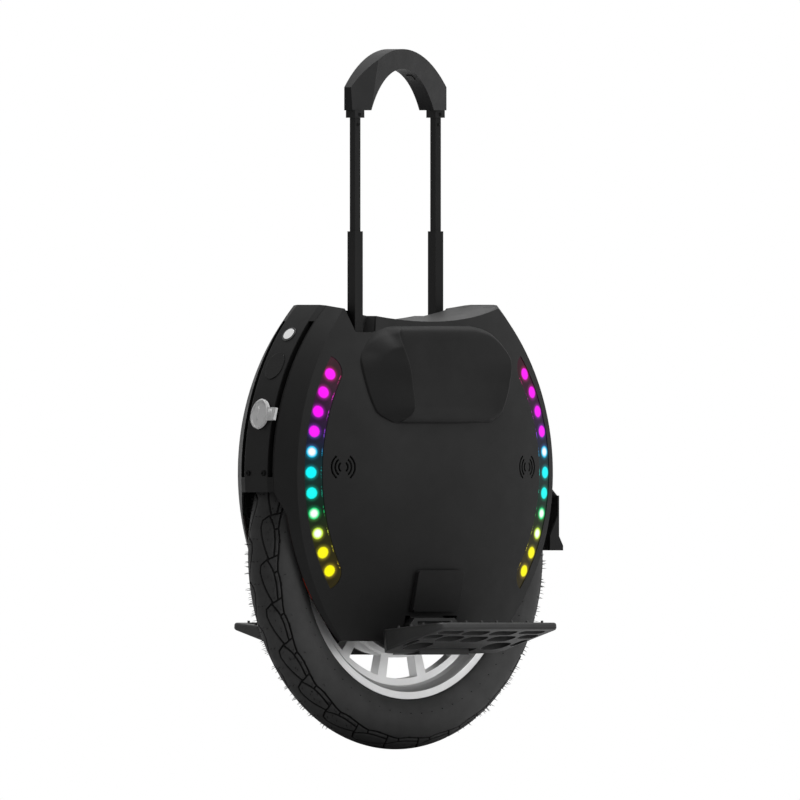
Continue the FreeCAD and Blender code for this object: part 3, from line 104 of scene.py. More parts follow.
class Tree:
    """A material's node tree, with short calls for the nodes used here."""

    def __init__(self, name):
        self.material = bpy.data.materials.new(name)
        self.material.use_nodes = True
        self.tree = self.material.node_tree
        self.tree.nodes.clear()
        self.output = self.add("ShaderNodeOutputMaterial")
        self.place = self.add("ShaderNodeTexCoord").outputs["Object"]

    def add(self, kind, inputs=None, **settings):
        node = self.tree.nodes.new(kind)
        for key, value in settings.items():
            setattr(node, key, value)
        for key, value in (inputs or {}).items():
            if isinstance(value, bpy.types.NodeSocket):
                self.tree.links.new(value, node.inputs[key])
            else:
                node.inputs[key].default_value = value
        return node

    def math(self, operation, first, second=0.0):
        return self.add("ShaderNodeMath", {0: first, 1: second}, operation=operation).outputs[0]

    def stretch(self, scale):
        return self.add("ShaderNodeMapping", {"Vector": self.place, "Scale": scale}).outputs[0]

    def noise(self, scale, detail=2.0, roughness=0.5, where=None):
        inputs = {"Vector": where or self.place, "Scale": scale, "Detail": detail, "Roughness": roughness}
        return self.add("ShaderNodeTexNoise", inputs).outputs["Fac"]

    def cells(self, scale, output="Distance"):
        return self.add("ShaderNodeTexVoronoi", {"Vector": self.place, "Scale": scale}).outputs[output]

    def span(self, value, low, high, to_low=0.0, to_high=1.0, smooth=False):
        kind = "SMOOTHSTEP" if smooth else "LINEAR"
        inputs = {0: value, 1: low, 2: high, 3: to_low, 4: to_high}
        return self.add("ShaderNodeMapRange", inputs, interpolation_type=kind).outputs[0]

    def mix(self, factor, first, second):
        """Mix of two colours."""
        return self.add("ShaderNodeMix", {0: factor, 6: first, 7: second}, data_type="RGBA").outputs[2]

    def ramp(self, value, stops):
        node = self.add("ShaderNodeValToRGB", {"Fac": value})
        band = node.color_ramp
        while len(band.elements) < len(stops):
            band.elements.new(1.0)
        for element, (position, colour) in zip(band.elements, stops):
            element.position = position
            element.color = colour
        return node.outputs["Color"]

    def bump(self, height, depth, normal=None):
        inputs = {"Height": height, "Distance": depth, "Strength": 1.0}
        if normal:
            inputs["Normal"] = normal
        return self.add("ShaderNodeBump", inputs).outputs[0]

    def rounded(self, radius):
        return self.add("ShaderNodeBevel", {"Radius": radius}, samples=4).outputs[0]

    def edges(self, rounded):
        """One on outer and inner edges, zero on faces: how far the rounded normal leaves the true one."""
        true = self.add("ShaderNodeNewGeometry").outputs["Normal"]
        dot = self.add("ShaderNodeVectorMath", {0: rounded, 1: true}, operation="DOT_PRODUCT").outputs["Value"]
        return self.span(self.math("SUBTRACT", 1.0, dot), edge_starts, edge_full)

    def length(self, first, second):
        """Length of a flat arrow from its two sides."""
        squares = [self.math("MULTIPLY", side, side) for side in (first, second)]
        return self.math("SQRT", self.math("ADD", *squares))

    def between(self, noise, low=0.0, high=1.0):
        """A noise turned into values between two ends."""
        return self.span(noise, noise_low, noise_high, low, high)

    def fall(self, value, ends, smooth=False):
        """One up to the first end, zero from the second."""
        return self.span(value, *ends, 1.0, 0.0, smooth)

    def worn(self, colour, soft, pale, scale, patch, share):
        """A colour with paler edges, in patches."""
        shown = self.span(self.noise(scale, 5.0, 0.65), *patch)
        edge = self.math("MULTIPLY", self.edges(soft), shown)
        return self.mix(self.math("MULTIPLY", edge, share), colour, pale)

    def principled(self, inputs):
        shader = self.add("ShaderNodeBsdfPrincipled", inputs)
        self.tree.links.new(shader.outputs[0], self.output.inputs["Surface"])
        return shader


neutral = (1.0, 1.0, 1.0)


def grey(value, tint=neutral):
    return (value * tint[0], value * tint[1], value * tint[2], 1.0)


def moulded(name, low, high, rough, grain=1500.0, depth=0.03 * mm, edge=0.5 * mm, wear=0.03,
            specular=0.1, cells=False, tint=neutral):
    """Moulded plastic or rubber: texture, uneven gloss, colour drift and paler handled edges."""
    t = Tree(name)
    soft = t.rounded(edge)
    drift = t.noise(9.0, 4.0, 0.6)
    colour = t.mix(t.between(drift), grey(low, tint), grey(high, tint))
    colour = t.worn(colour, soft, grey(wear, tint), **plastic_wear)
    texture = t.cells(grain) if cells else t.noise(grain, 3.0, 0.6)
    gloss = t.span(t.noise(32.0, 5.0, 0.65), 0.3, 0.72, rough[0], rough[1])
    t.principled({"Base Color": colour, "Roughness": gloss, "Specular IOR Level": specular,
                  "Normal": t.bump(texture, depth, soft)})
    return t.material


def metal(name, low, high, rough, brush=(1.0, 1.0, 1.0), grain=900.0, depth=0.01 * mm, edge=0.4 * mm,
          wear=0.6, metallic=1.0, specular=0.5, tint=neutral):
    """Bare, plated or anodised metal: brushed or cast grain, uneven gloss, bright edges."""
    t = Tree(name)
    soft = t.rounded(edge)
    lines = t.noise(grain, 3.0, 0.6, t.stretch(brush))
    cloud = t.noise(22.0, 4.0, 0.6)
    colour = t.mix(t.between(cloud), grey(low, tint), grey(high, tint))
    colour = t.worn(colour, soft, grey(wear, tint), **metal_wear)
    blend = t.math("ADD", t.math("MULTIPLY", lines, line_share), t.math("MULTIPLY", cloud, 1 - line_share))
    gloss = t.between(blend, rough[0], rough[1])
    t.principled({"Base Color": colour, "Roughness": gloss, "Metallic": metallic,
                  "Specular IOR Level": specular, "Normal": t.bump(lines, depth, soft)})
    return t.material


def tyre_rubber():
    """Dusty rubber, paler on the side walls, with painted shade making the grooves nearly black."""
    t = Tree("tyre_rubber")
    groove = t.add("ShaderNodeAttribute", attribute_name="groove").outputs["Fac"]
    dust = t.noise(60.0, 5.0, 0.65)
    colour = t.mix(t.span(dust, 0.3, 0.75), grey(0.033), grey(0.047))
    places = t.add("ShaderNodeSeparateXYZ", {0: t.place}).outputs
    reach = t.length(places[0], t.math("SUBTRACT", places[2], axle_height))
    on_wall = t.fall(reach, wall_bloom)
    bloom = t.math("MULTIPLY", on_wall, t.span(dust, 0.2, 0.8, 0.6, 1.0))
    colour = t.mix(bloom, colour, grey(0.062))
    # Painted shade: the groove mark darkens the grooves, and the hairs that carry it, to near black
    colour = t.mix(t.span(groove, 0.0, 0.5), colour, grey(0.0015))
    fine = t.noise(1900.0, 3.0, 0.6)
    t.principled({"Base Color": colour, "Specular IOR Level": 0.14,
                  "Roughness": t.between(t.noise(45.0, 4.0), 0.55, 0.72),
                  "Normal": t.bump(fine, 0.05 * mm)})
    return t.material


def grit():
    """Grip tape: close grains, some of them pale."""
    t = Tree("grip_sheet_grit")
    grains = t.cells(grit_scale)
    speck = t.cells(grit_scale, output="Color")
    tone = t.add("ShaderNodeSeparateColor", {0: speck}).outputs[0]
    colour = t.mix(t.span(tone, 0.82, 0.98), grey(0.014), grey(0.09))
    t.principled({"Base Color": colour, "Specular IOR Level": 0.3,
                  "Roughness": t.span(tone, 0.0, 1.0, 0.5, 0.85),
                  "Normal": t.bump(t.fall(grains, (0.0, 0.7)), 0.5 * mm)})
    return t.material


def seal():
    """Red gasket painted nearly black as shade, and red only in a band round the height where the side light
    falls on its end (painted light).
    """
    t = Tree("seal_red")
    height = t.add("ShaderNodeSeparateXYZ", {0: t.place}).outputs[2]
    middle = t.math("ABSOLUTE", t.math("SUBTRACT", height, seal_lit_height))
    # Painted light: one in the band where the side light falls on the seal's end, zero where the seal is
    # painted as in shade
    shown = t.fall(middle, seal_red)
    red = t.mix(t.between(t.noise(90.0, 4.0)), (0.17, 0.012, 0.004, 1.0), (0.25, 0.02, 0.006, 1.0))
    # Painted shade: the seal's colour where it lies in shadow, nearly black
    dark = t.mix(t.between(t.noise(60.0, 4.0)), (0.008, 0.006, 0.006, 1.0), (0.012, 0.007, 0.006, 1.0))
    t.principled({"Base Color": t.mix(shown, dark, red), "Specular IOR Level": 0.1,
                  "Roughness": t.between(t.noise(120.0, 4.0), 0.5, 0.65),
                  "Normal": t.bump(t.noise(1400.0, 3.0), 0.04 * mm, t.rounded(0.4 * mm))})
    return t.material


def light_stops(colours):
    last = len(colours) - 1
    return [(i / last, (*colour, 1.0)) for i, colour in enumerate(colours)]


magenta = (1.0, 0.0, 0.95)
cyan = (0.0, 0.95, 1.0)
yellow = (1.0, 0.95, 0.0)
chip_colours = [magenta] * 4 + [(0.0, 0.62, 0.95), cyan, (0.0, 0.97, 0.93), (0.03, 0.85, 0.25),
                                (0.62, 0.9, 0.04), yellow, yellow]
haze_colours = [(1.0, 0.02, 0.3), (1.0, 0.02, 0.75), (0.8, 0.03, 1.0), (0.35, 0.05, 1.0),
                (0.0, 0.4, 0.75), (0.0, 0.75, 0.7), (0.0, 0.7, 0.45), (0.0, 0.65, 0.15),
                (0.5, 0.62, 0.04), (0.8, 0.7, 0.04), (0.85, 0.62, 0.04)]
white_cores = [0, 0, 0, 0, 1, 0, 0, 1, 1, 0, 0]


def side_light():
    """Smoked lens: eleven lit chips seen through it, their haze, and glints along its inner edge."""
    t = Tree("lens_smoke")
    axes = t.add("ShaderNodeSeparateXYZ", {0: t.place}).outputs
    along = t.math("ADD", t.math("ABSOLUTE", axes[0]), light_offset)
    up = t.math("SUBTRACT", axes[2], light_height)
    radius = t.length(along, up)
    angle = t.math("ARCTAN2", up, along)
    step = 2 * chip_angle / (chip_count - 1)
    place = t.math("DIVIDE", t.math("SUBTRACT", chip_angle, angle), step)
    index = t.math("MINIMUM", t.math("MAXIMUM", t.math("ROUND", place), 0.0), chip_count - 1.0)
    tangent = t.math("MULTIPLY", t.math("SUBTRACT", place, index), step * chip_radius)
    radial = t.math("SUBTRACT", radius, chip_radius)
    distance = t.length(tangent, radial)
    flicker = t.math("MULTIPLY", t.span(t.noise(900.0, 3.0), 0.25, 0.75, -0.5, 0.5), flicker_reach)
    distance = t.math("ADD", distance, flicker)
    share = t.math("DIVIDE", index, chip_count - 1.0)
    chip = t.ramp(share, light_stops(chip_colours))
    core_white = t.ramp(share, light_stops([(w, w, w) for w in white_cores]))
    haze = t.ramp(t.math("DIVIDE", place, chip_count - 1.0), light_stops(haze_colours))
    core = t.fall(distance, core_reach, smooth=True)
    centre = t.math("MULTIPLY", t.fall(distance, white_reach, smooth=True), core_white)
    halo = t.math("POWER", t.fall(distance, halo_reach), halo_power)
    strip = t.between(t.noise(70.0, 3.0), 0.02, 0.034)
    edge = t.math("ABSOLUTE", t.math("SUBTRACT", radius, inner_edge_radius))
    edge = t.fall(edge, glint_reach, smooth=True)
    glint = t.math("MULTIPLY", edge, t.fall(t.math("ABSOLUTE", tangent), glint_half))
    glint = t.math("MULTIPLY", glint, t.span(t.noise(420.0, 2.0), 0.46, 0.6, 0.0, glint_most))
    lit = t.mix(centre, chip, (1.0, 1.0, 1.0, 1.0))
    soft = t.math("ADD", t.math("ADD", t.math("MULTIPLY", halo, halo_share), strip), glint)
    glow = t.add("ShaderNodeVectorMath", {0: haze}, operation="SCALE")
    t.tree.links.new(soft, glow.inputs["Scale"])
    colour = t.mix(core, glow.outputs[0], lit)
    smoke = t.mix(t.between(t.noise(26.0, 3.0)), grey(0.008), grey(0.013))
    t.principled({"Base Color": smoke, "Roughness": t.between(t.noise(60.0, 4.0), 0.1, 0.2),
                  "Specular IOR Level": 0.05, "Emission Color": colour, "Emission Strength": 1.0,
                  "Normal": t.rounded(0.5 * mm)})
    return t.material


def lit_chips():
    t = Tree("led_colour")
    axes = t.add("ShaderNodeSeparateXYZ", {0: t.place}).outputs
    along = t.math("ADD", t.math("ABSOLUTE", axes[0]), light_offset)
    angle = t.math("ARCTAN2", t.math("SUBTRACT", axes[2], light_height), along)
    share = t.span(angle, chip_angle, -chip_angle)
    colour = t.ramp(share, light_stops(chip_colours))
    t.principled({"Base Color": colour, "Roughness": t.between(t.noise(300.0), 0.25, 0.4),
                  "Emission Color": colour, "Emission Strength": 1.0})
    return t.material


def smoked(name, low, high, rough, tint=neutral):
    """Glossy dark lens with faint moulded flutes behind its face."""
    t = Tree(name)
    flutes = t.add("ShaderNodeTexWave", {"Vector": t.place, "Scale": flute_scale, "Distortion": 0.6},
                   bands_direction="Z").outputs["Fac"]
    colour = t.mix(t.span(flutes, 0.2, 0.9), grey(low, tint), grey(high, tint))
    t.principled({"Base Color": colour, "Specular IOR Level": 0.12,
                  "Roughness": t.between(t.noise(90.0, 4.0), rough[0], rough[1]),
                  "Normal": t.bump(t.noise(40.0), 0.05 * mm, t.rounded(0.6 * mm))})
    return t.material


def finishes():
    """Every finish by the name of its slot: low and high tone, range of roughness, then options."""
    looks = {"tyre_rubber": tyre_rubber(), "grip_sheet_grit": grit(), "seal_red": seal(),
             "lens_smoke": side_light(), "led_colour": lit_chips()}

    def add(make, name, *values, **settings):
        looks[name] = make(name, *values, **settings)

    add(moulded, "tube_rubber", 0.02, 0.03, (0.45, 0.6))
    add(metal, "valve_metal", 0.5, 0.6, (0.25, 0.4), tint=(1.0, 0.82, 0.45))
    add(metal, "rim_silver", 0.66, 0.76, (0.3, 0.4), grain=420.0, depth=0.004 * mm, edge=0.7 * mm, wear=0.9,
        metallic=0.7)
    add(metal, "magnet_nickel", 0.5, 0.6, (0.2, 0.35))
    add(metal, "motor_cover_metal", 0.03, 0.045, (0.35, 0.5), metallic=0.6, wear=0.2)
    # Screws nearly black with little gloss: painted shade, so the heads read as the shaded holes they sit in
    add(metal, "screw_steel", 0.004, 0.008, (0.5, 0.65), wear=0.03, metallic=0.2, specular=0.05)
    add(metal, "plain_steel", 0.42, 0.52, (0.22, 0.38), wear=0.75)
    add(metal, "stator_steel", 0.3, 0.4, (0.35, 0.5), brush=(1.0, 40.0, 1.0), depth=0.04 * mm)
    add(metal, "carrier_metal", 0.45, 0.55, (0.35, 0.5), depth=0.03 * mm)
    add(metal, "winding_copper", 0.55, 0.7, (0.22, 0.36), brush=(1.0, 30.0, 1.0), depth=0.08 * mm,
        tint=(1.0, 0.45, 0.2))
    add(metal, "hanger_metal", 0.02, 0.03, (0.42, 0.56), metallic=0.3, wear=0.16, specular=0.3,
        depth=0.02 * mm)
    add(metal, "pedal_metal", 0.02, 0.03, (0.4, 0.55), metallic=0.25, wear=0.2, specular=0.3, grain=1300.0,
        depth=0.035 * mm, edge=0.6 * mm)
    add(metal, "stud_steel", 0.02, 0.035, (0.35, 0.5), wear=0.15, metallic=0.4)
    add(moulded, "case_plastic", 0.009, 0.013, (0.5, 0.62))
    add(moulded, "panel_plastic", 0.015, 0.02, (0.46, 0.58), grain=1700.0, wear=0.06)
    add(moulded, "cover_plastic", 0.009, 0.012, (0.4, 0.52), grain=1700.0, wear=0.04)
    add(moulded, "deck_plastic", 0.04, 0.052, (0.5, 0.62), grain=1300.0, wear=0.09)
    add(moulded, "pad_foam", 0.0068, 0.0095, (0.5, 0.6), grain=950.0, depth=0.05 * mm, wear=0.03, cells=True,
        edge=0.8 * mm, specular=0.12)
    add(moulded, "hanger_cover_plastic", 0.015, 0.02, (0.46, 0.58), grain=1700.0, wear=0.04)
    add(moulded, "board_black", 0.012, 0.02, (0.3, 0.45), tint=(0.8, 1.0, 0.85))
    add(moulded, "speaker_black", 0.006, 0.01, (0.5, 0.7), grain=700.0, cells=True)
    add(moulded, "battery_wrap", 0.16, 0.22, (0.2, 0.34), grain=120.0, depth=0.15 * mm, wear=0.3,
        tint=(0.2, 0.45, 1.0))
    add(moulded, "board_green", 0.1, 0.14, (0.3, 0.45), grain=380.0, depth=0.1 * mm, cells=True, wear=0.25,
        tint=(0.2, 1.0, 0.4))
    add(metal, "sink_metal", 0.5, 0.6, (0.3, 0.45), brush=(1.0, 1.0, 30.0))
    add(smoked, "lamp_lens", 0.004, 0.009, (0.08, 0.16))
    add(metal, "lamp_module", 0.4, 0.55, (0.15, 0.3))
    add(smoked, "tail_lens", 0.05, 0.12, (0.08, 0.16), tint=(1.0, 0.03, 0.03))
    add(moulded, "socket_plastic", 0.02, 0.028, (0.35, 0.5))
    add(metal, "housing_metal", 0.03, 0.05, (0.25, 0.4), wear=0.3, metallic=0.7)
    add(moulded, "button_plastic", 0.012, 0.017, (0.4, 0.52), wear=0.05)
    add(metal, "button_silver", 0.62, 0.72, (0.26, 0.4), wear=0.85)
    add(moulded, "cap_rubber", 0.74, 0.86, (0.3, 0.45), grain=170.0, depth=0.4 * mm, wear=0.6, specular=0.4)
    add(moulded, "guard_plastic", 0.011, 0.015, (0.45, 0.58), wear=0.035)
    add(metal, "guide_metal", 0.02, 0.03, (0.3, 0.44), brush=(1.0, 1.0, 0.05), metallic=0.5, specular=0.3,
        wear=0.15)
    add(metal, "trolley_metal", 0.007, 0.01, (0.36, 0.5), brush=(1.0, 1.0, 0.04), metallic=0.2, specular=0.1,
        wear=0.06)
    add(moulded, "trolley_plastic", 0.011, 0.0155, (0.44, 0.56), grain=1500.0, wear=0.04, tint=(1.0, 1.0, 1.02))
    return looks


# Meshes

def new_object(name, points, faces, smooth=True):
    mesh = bpy.data.meshes.new(name)
    mesh.from_pydata([tuple(p) for p in points], [], faces)
    mesh.update()
    if smooth:
        mesh.polygons.foreach_set("use_smooth", [True] * len(mesh.polygons))
    piece = bpy.data.objects.new(name, mesh)
    bpy.context.scene.collection.objects.link(piece)
    return piece


def grid_faces(rows, columns, wrap_rows=False, wrap_columns=False):
    i = np.arange(rows if wrap_rows else rows - 1)
    j = np.arange(columns if wrap_columns else columns - 1)
    i, j = np.meshgrid(i, j, indexing="ij")
    i2 = (i + 1) % rows
    j2 = (j + 1) % columns
    quads = np.stack([i * columns + j, i2 * columns + j, i2 * columns + j2, i * columns + j2], axis=-1)
    return quads.reshape(-1, 4)


def grid_object(name, points, quads):
    """An object from arrays: far quicker than lists for a large mesh."""
    mesh = bpy.data.meshes.new(name)
    mesh.vertices.add(len(points))
    mesh.vertices.foreach_set("co", np.asarray(points, np.float32).ravel())
    mesh.loops.add(quads.size)
    mesh.loops.foreach_set("vertex_index", quads.astype(np.int32).ravel())
    mesh.polygons.add(len(quads))
    mesh.polygons.foreach_set("loop_start", np.arange(0, quads.size, 4, dtype=np.int32))
    mesh.update(calc_edges=True)
    mesh.validate()
    mesh.polygons.foreach_set("use_smooth", np.ones(len(mesh.polygons), bool))
    piece = bpy.data.objects.new(name, mesh)
    bpy.context.scene.collection.objects.link(piece)
    return piece


# Tyre: tread blocks cut by narrow grooves, all round both shoulders

tyre_radius = 245.0
tyre_half = 34.0
spine = tyre_radius - tyre_half
repeats = 27
pitch = full_turn * tyre_radius / repeats
drawn_pitch = 55.0
steps_per_repeat = 56
groove_half = 1.35
groove_depth = 2.2
tread_reach = 34.2
tread_step = 0.85
tread_phase = math.radians(11.7)
shoulder_steps = 14
groove_wall_share = 0.55

# Points this near a groove's edge move onto it, away from the tread's middle and borders
snap_reach = 0.42
snap_from_middle = 1.0
snap_from_border = 0.2
snap_from_groove = 0.05

# Side wall as (half width, radius): three points of its arc, raised rings, and the inside from bead to bead
wall_arc = [(24.6, 183.15), (31.62, 196.98), (34.0, 211.0)]
wall_steps = 18
wall_rings = ((186.5, 0.5), (189.5, 0.35), (203.0, 0.3))
wall_ring_width = 0.8
inside_half = [(20.2, 182.6), (20.2, 173.6), (14.5, 173.6), (15.9, 182.9), (24.0, 197.0), (28.5, 211.0),
               (20.2, 231.2)]
inside_top = (0.0, 239.5)

# Grooves of one repeat, unrolled, as (along, across) from the middle of the tread
tread_lines = [
    [(0.0, 16.6), (-1.6, 21.0), (-4.2, 27.0), (-5.8, 31.5)],
    [(0.0, 16.6), (6.0, 20.5), (12.0, 23.4), (17.0, 25.0)],
    [(17.0, 25.0), (15.6, 27.6), (14.7, 30.0)],
    [(17.0, 25.0), (28.0, 26.6), (40.0, 26.6), (50.6, 26.0)],
    [(-5.8, 31.5), (4.0, 30.6), (14.7, 30.0), (22.0, 31.6), (29.6, 32.5), (40.0, 32.3), (49.2, 31.5)],
    [(0.0, 16.6), (6.7, 8.0), (15.4, 6.5), (25.0, 8.6), (34.6, 11.5), (44.0, 15.0), (53.6, 18.6)],
]


def tread_segments():
    pairs = []
    for line in tread_lines:
        for first, second in zip(line, line[1:]):
            for shift in (-1, 0, 1):
                start = first[0] * pitch / drawn_pitch + shift * pitch
                stop = second[0] * pitch / drawn_pitch + shift * pitch
                pairs.append((start, first[1], stop, second[1]))
    return np.array(pairs)


def groove_distance(s, w):
    """Distance from each point of the unrolled shoulder to the nearest groove, and the nearest point."""
    segments = tread_segments()
    best = np.full(s.shape, 1e9)
    near_s = np.zeros_like(s)
    near_w = np.zeros_like(w)
    for s0, w0, s1, w1 in segments:
        ds, dw = s1 - s0, w1 - w0
        k = np.clip(((s - s0) * ds + (w - w0) * dw) / (ds * ds + dw * dw), 0.0, 1.0)
        ps, pw = s0 + k * ds, w0 + k * dw
        d = np.hypot(s - ps, w - pw)
        closer = d < best
        best = np.where(closer, d, best)
        near_s = np.where(closer, ps, near_s)
        near_w = np.where(closer, pw, near_w)
    return best, near_s, near_w


def side_profile():
    """Side wall from the rim edge up to the widest point, as (half width, radius) on one arc, mm."""
    (x1, y1), (x2, y2), (x3, y3) = wall_arc
    a = np.array([[x2 - x1, y2 - y1], [x3 - x1, y3 - y1]]) * 2
    b = np.array([x2 * x2 - x1 * x1 + y2 * y2 - y1 * y1, x3 * x3 - x1 * x1 + y3 * y3 - y1 * y1])
    cx, cy = np.linalg.solve(a, b)
    radius = math.hypot(x1 - cx, y1 - cy)
    start = math.atan2(y1 - cy, x1 - cx)
    stop = math.atan2(y3 - cy, x3 - cx)
    wall = []
    for i in range(wall_steps):
        angle = start + (stop - start) * i / wall_steps
        r = radius
        height = cy + r * math.sin(angle)
        for ring, rise in wall_rings:
            r += rise * math.exp(-((height - ring) / wall_ring_width) ** 2)
        wall.append((cx + r * math.cos(angle), cy + r * math.sin(angle)))
    return wall


def tread_surface():
    """Half width, radius, turn and groove depth of each point of the tread, one row per step round the tyre."""
    tread_count = int(round(2 * tread_reach / tread_step)) + 1
    w_mid = np.linspace(-tread_reach, tread_reach, tread_count)
    quarter = tyre_half * math.pi / 2
    w_out = np.linspace(tread_reach, quarter, shoulder_steps)[1:]
    w = np.concatenate([-w_out[::-1], w_mid, w_out])
    around = repeats * steps_per_repeat
    s_one = np.arange(steps_per_repeat) * pitch / steps_per_repeat
    s_grid, w_grid = np.meshgrid(s_one, w, indexing="ij")
    shift = np.where(w_grid < 0, pitch / 2, 0.0)
    s_local = np.mod(s_grid + shift, pitch)
    w_local = np.abs(w_grid)
    distance, near_s, near_w = groove_distance(s_local, w_local)
    off = distance - groove_half
    reach = np.maximum(distance, 1e-6)
    dir_s = (s_local - near_s) / reach
    dir_w = (w_local - near_w) / reach
    snap = (np.abs(off) < snap_reach) & (w_local > snap_from_middle)
    snap &= (w_local < tread_reach - snap_from_border) & (distance > snap_from_groove)
    s_move = np.where(snap, -off * dir_s, 0.0)
    w_move = np.where(snap, -off * dir_w, 0.0) * np.sign(w_grid)
    sunk = np.clip((groove_half - distance) / (groove_wall_share * groove_half), 0.0, 1.0)
    depth = np.where(snap, 0.0, sunk) * groove_depth
    s_all = (np.arange(repeats)[:, None, None] * pitch + (s_grid + s_move)[None]).reshape(around, -1)
    w_all = np.broadcast_to((w_grid + w_move)[None], (repeats,) + w_grid.shape).reshape(around, -1)
    cut = np.broadcast_to(depth[None], (repeats,) + w_grid.shape).reshape(around, -1)
    turn = -s_all / tyre_radius + tread_phase
    bend = w_all / tyre_half
    half = (tyre_half - cut) * np.sin(bend)
    radius = spine + (tyre_half - cut) * np.cos(bend)
    return half, radius, turn, cut


def tyre_piece():
    half, radius, turn, cut = tread_surface()
    around = len(half)
    ring_turn = -np.arange(around) * pitch / steps_per_repeat / tyre_radius + tread_phase
    wall = side_profile()
    inside = inside_half + [inside_top] + [(-y, r) for y, r in inside_half[::-1]]
    order = np.array(wall[::-1] + inside + [(-y, r) for y, r in wall])
    half = np.concatenate([half, order[None, :, 0].repeat(around, 0)], axis=1)
    radius = np.concatenate([radius, order[None, :, 1].repeat(around, 0)], axis=1)
    turn = np.concatenate([turn, ring_turn[:, None].repeat(len(order), 1)], axis=1)
    x = radius * np.cos(turn)
    z = radius * np.sin(turn) + tyre_radius
    points = np.stack([x, half, z], axis=-1).reshape(-1, 3) * mm
    quads = grid_faces(around, half.shape[1], True, True)[:, ::-1]
    piece = grid_object("tyre_tread", points, quads)
    # Groove depth share of each point, which the tyre finish turns into painted shade
    marks = np.zeros(half.shape)
    marks[:, :cut.shape[1]] = np.clip(cut / groove_depth, 0.0, 1.0)
    attribute = piece.data.attributes.new("groove", "FLOAT", "POINT")
    attribute.data.foreach_set("value", marks.ravel().astype(np.float32))
    return piece


# Hairs: rings of one, places in one repeat, strays on the shoulders, and a ring of short ones on each side wall
hair_seed = 7
hair_sides = 3
hair_rings = ((-0.08, 1.5), (0.15, 1.0), (0.6, 0.8))
hair_spots = ((2.0, 3.5), (9.0, 13.5), (22.0, 17.5), (31.0, 3.0), (38.0, 21.0), (9.5, 27.0), (31.0, 29.6),
              (46.0, 29.0))
border_hairs = ((20.0, 38.5), (47.0, -38.5))
stray_count = 9
stray_low, stray_high = 17.0, 33.0
bare_angle = math.radians(24)
hair_lean = 0.25
hair_least, hair_middle_most, hair_most = 2.8, 4.2, 6.8
hair_middle = 12.0
hair_radius = 0.42 * mm
wall_hair_count = 68
wall_hair_radius, wall_hair_half = 200.0, 32.5
wall_hair_shift = 0.25
wall_hair_lean = 0.2
wall_hair_least, wall_hair_most = 1.2, 2.4
wall_hair_thick = 0.6 * mm
hair_shade = 0.45


def hair(points, faces, root, direction, length, radius, lean):
    """One moulding hair: a thin tapered stalk, slightly bent."""
    direction = direction.normalized()
    side = direction.orthogonal().normalized()
    across = direction.cross(side)
    first = len(points)
    for share, width in hair_rings:
        centre = root + direction * (length * share) + lean * (share * share * length)
        for k in range(hair_sides):
            angle = full_turn * k / hair_sides
            points.append(centre + (side * math.cos(angle) + across * math.sin(angle)) * radius * width)
    tip = len(points)
    points.append(root + direction * length + lean * length)
    for ring in range(first, tip - hair_sides, hair_sides):
        for k in range(hair_sides):
            a, b = ring + k, ring + (k + 1) % hair_sides
            faces.append((a, b, b + hair_sides, a + hair_sides))
    last = tip - hair_sides
    for k in range(hair_sides):
        faces.append((last + k, last + (k + 1) % hair_sides, tip))
    faces.append(tuple(first + k for k in range(hair_sides - 1, -1, -1)))


def hair_places(draw):
    """Places of the hairs on the unrolled tread."""
    places = []
    for repeat in range(repeats):
        for s, w in hair_spots:
            places.append((repeat * pitch + s, w))
            places.append((repeat * pitch + s + pitch / 2, -w))
        places += [(repeat * pitch + s, w) for s, w in border_hairs]
        for _ in range(stray_count):
            places.append(((repeat + draw.random()) * pitch, draw.uniform(stray_low, stray_high)))
            places.append(((repeat + draw.random()) * pitch, draw.uniform(-stray_high, -stray_low)))
    return places


def tyre_hairs():
    draw = random.Random(hair_seed)
    points, faces = [], []
    for s, w in hair_places(draw):
        turn = -s / tyre_radius + tread_phase
        bend = w / tyre_half
        low = math.cos(turn + math.pi / 2)
        if low > math.cos(bare_angle):
            continue
        radius = spine + tyre_half * math.cos(bend)
        half = tyre_half * math.sin(bend)
        root = Vector((radius * math.cos(turn), half, radius * math.sin(turn) + tyre_radius)) * mm
        out = Vector((math.cos(bend) * math.cos(turn), math.sin(bend), math.cos(bend) * math.sin(turn)))
        lean = Vector([draw.uniform(-hair_lean, hair_lean) for _ in range(3)])
        lean = lean - out * lean.dot(out)
        length = draw.uniform(hair_least, hair_middle_most if abs(w) < hair_middle else hair_most) * mm
        hair(points, faces, root, out, length, hair_radius, lean)
    for side in (-1, 1):
        for k in range(wall_hair_count):
            turn = full_turn * (k + wall_hair_shift * side) / wall_hair_count
            root = Vector((wall_hair_radius * math.cos(turn), side * wall_hair_half,
                           wall_hair_radius * math.sin(turn) + tyre_radius)) * mm
            out = Vector((0.0, side, 0.0))
            lean = Vector((draw.uniform(-wall_hair_lean, wall_hair_lean), 0.0,
                           draw.uniform(-wall_hair_lean, wall_hair_lean)))
            length = draw.uniform(wall_hair_least, wall_hair_most) * mm
            hair(points, faces, root, out, length, wall_hair_thick, lean)
    piece = new_object("tyre_hairs", points, faces)
    # Hairs carry part of the groove mark, so the painted groove shade darkens them too
    attribute = piece.data.attributes.new("groove", "FLOAT", "POINT")
    attribute.data.foreach_set("value", [hair_shade] * len(piece.data.vertices))
    return piece


# Knee pads: a front wing with a sharp ridge, a hollow and a ramp to the rear edge

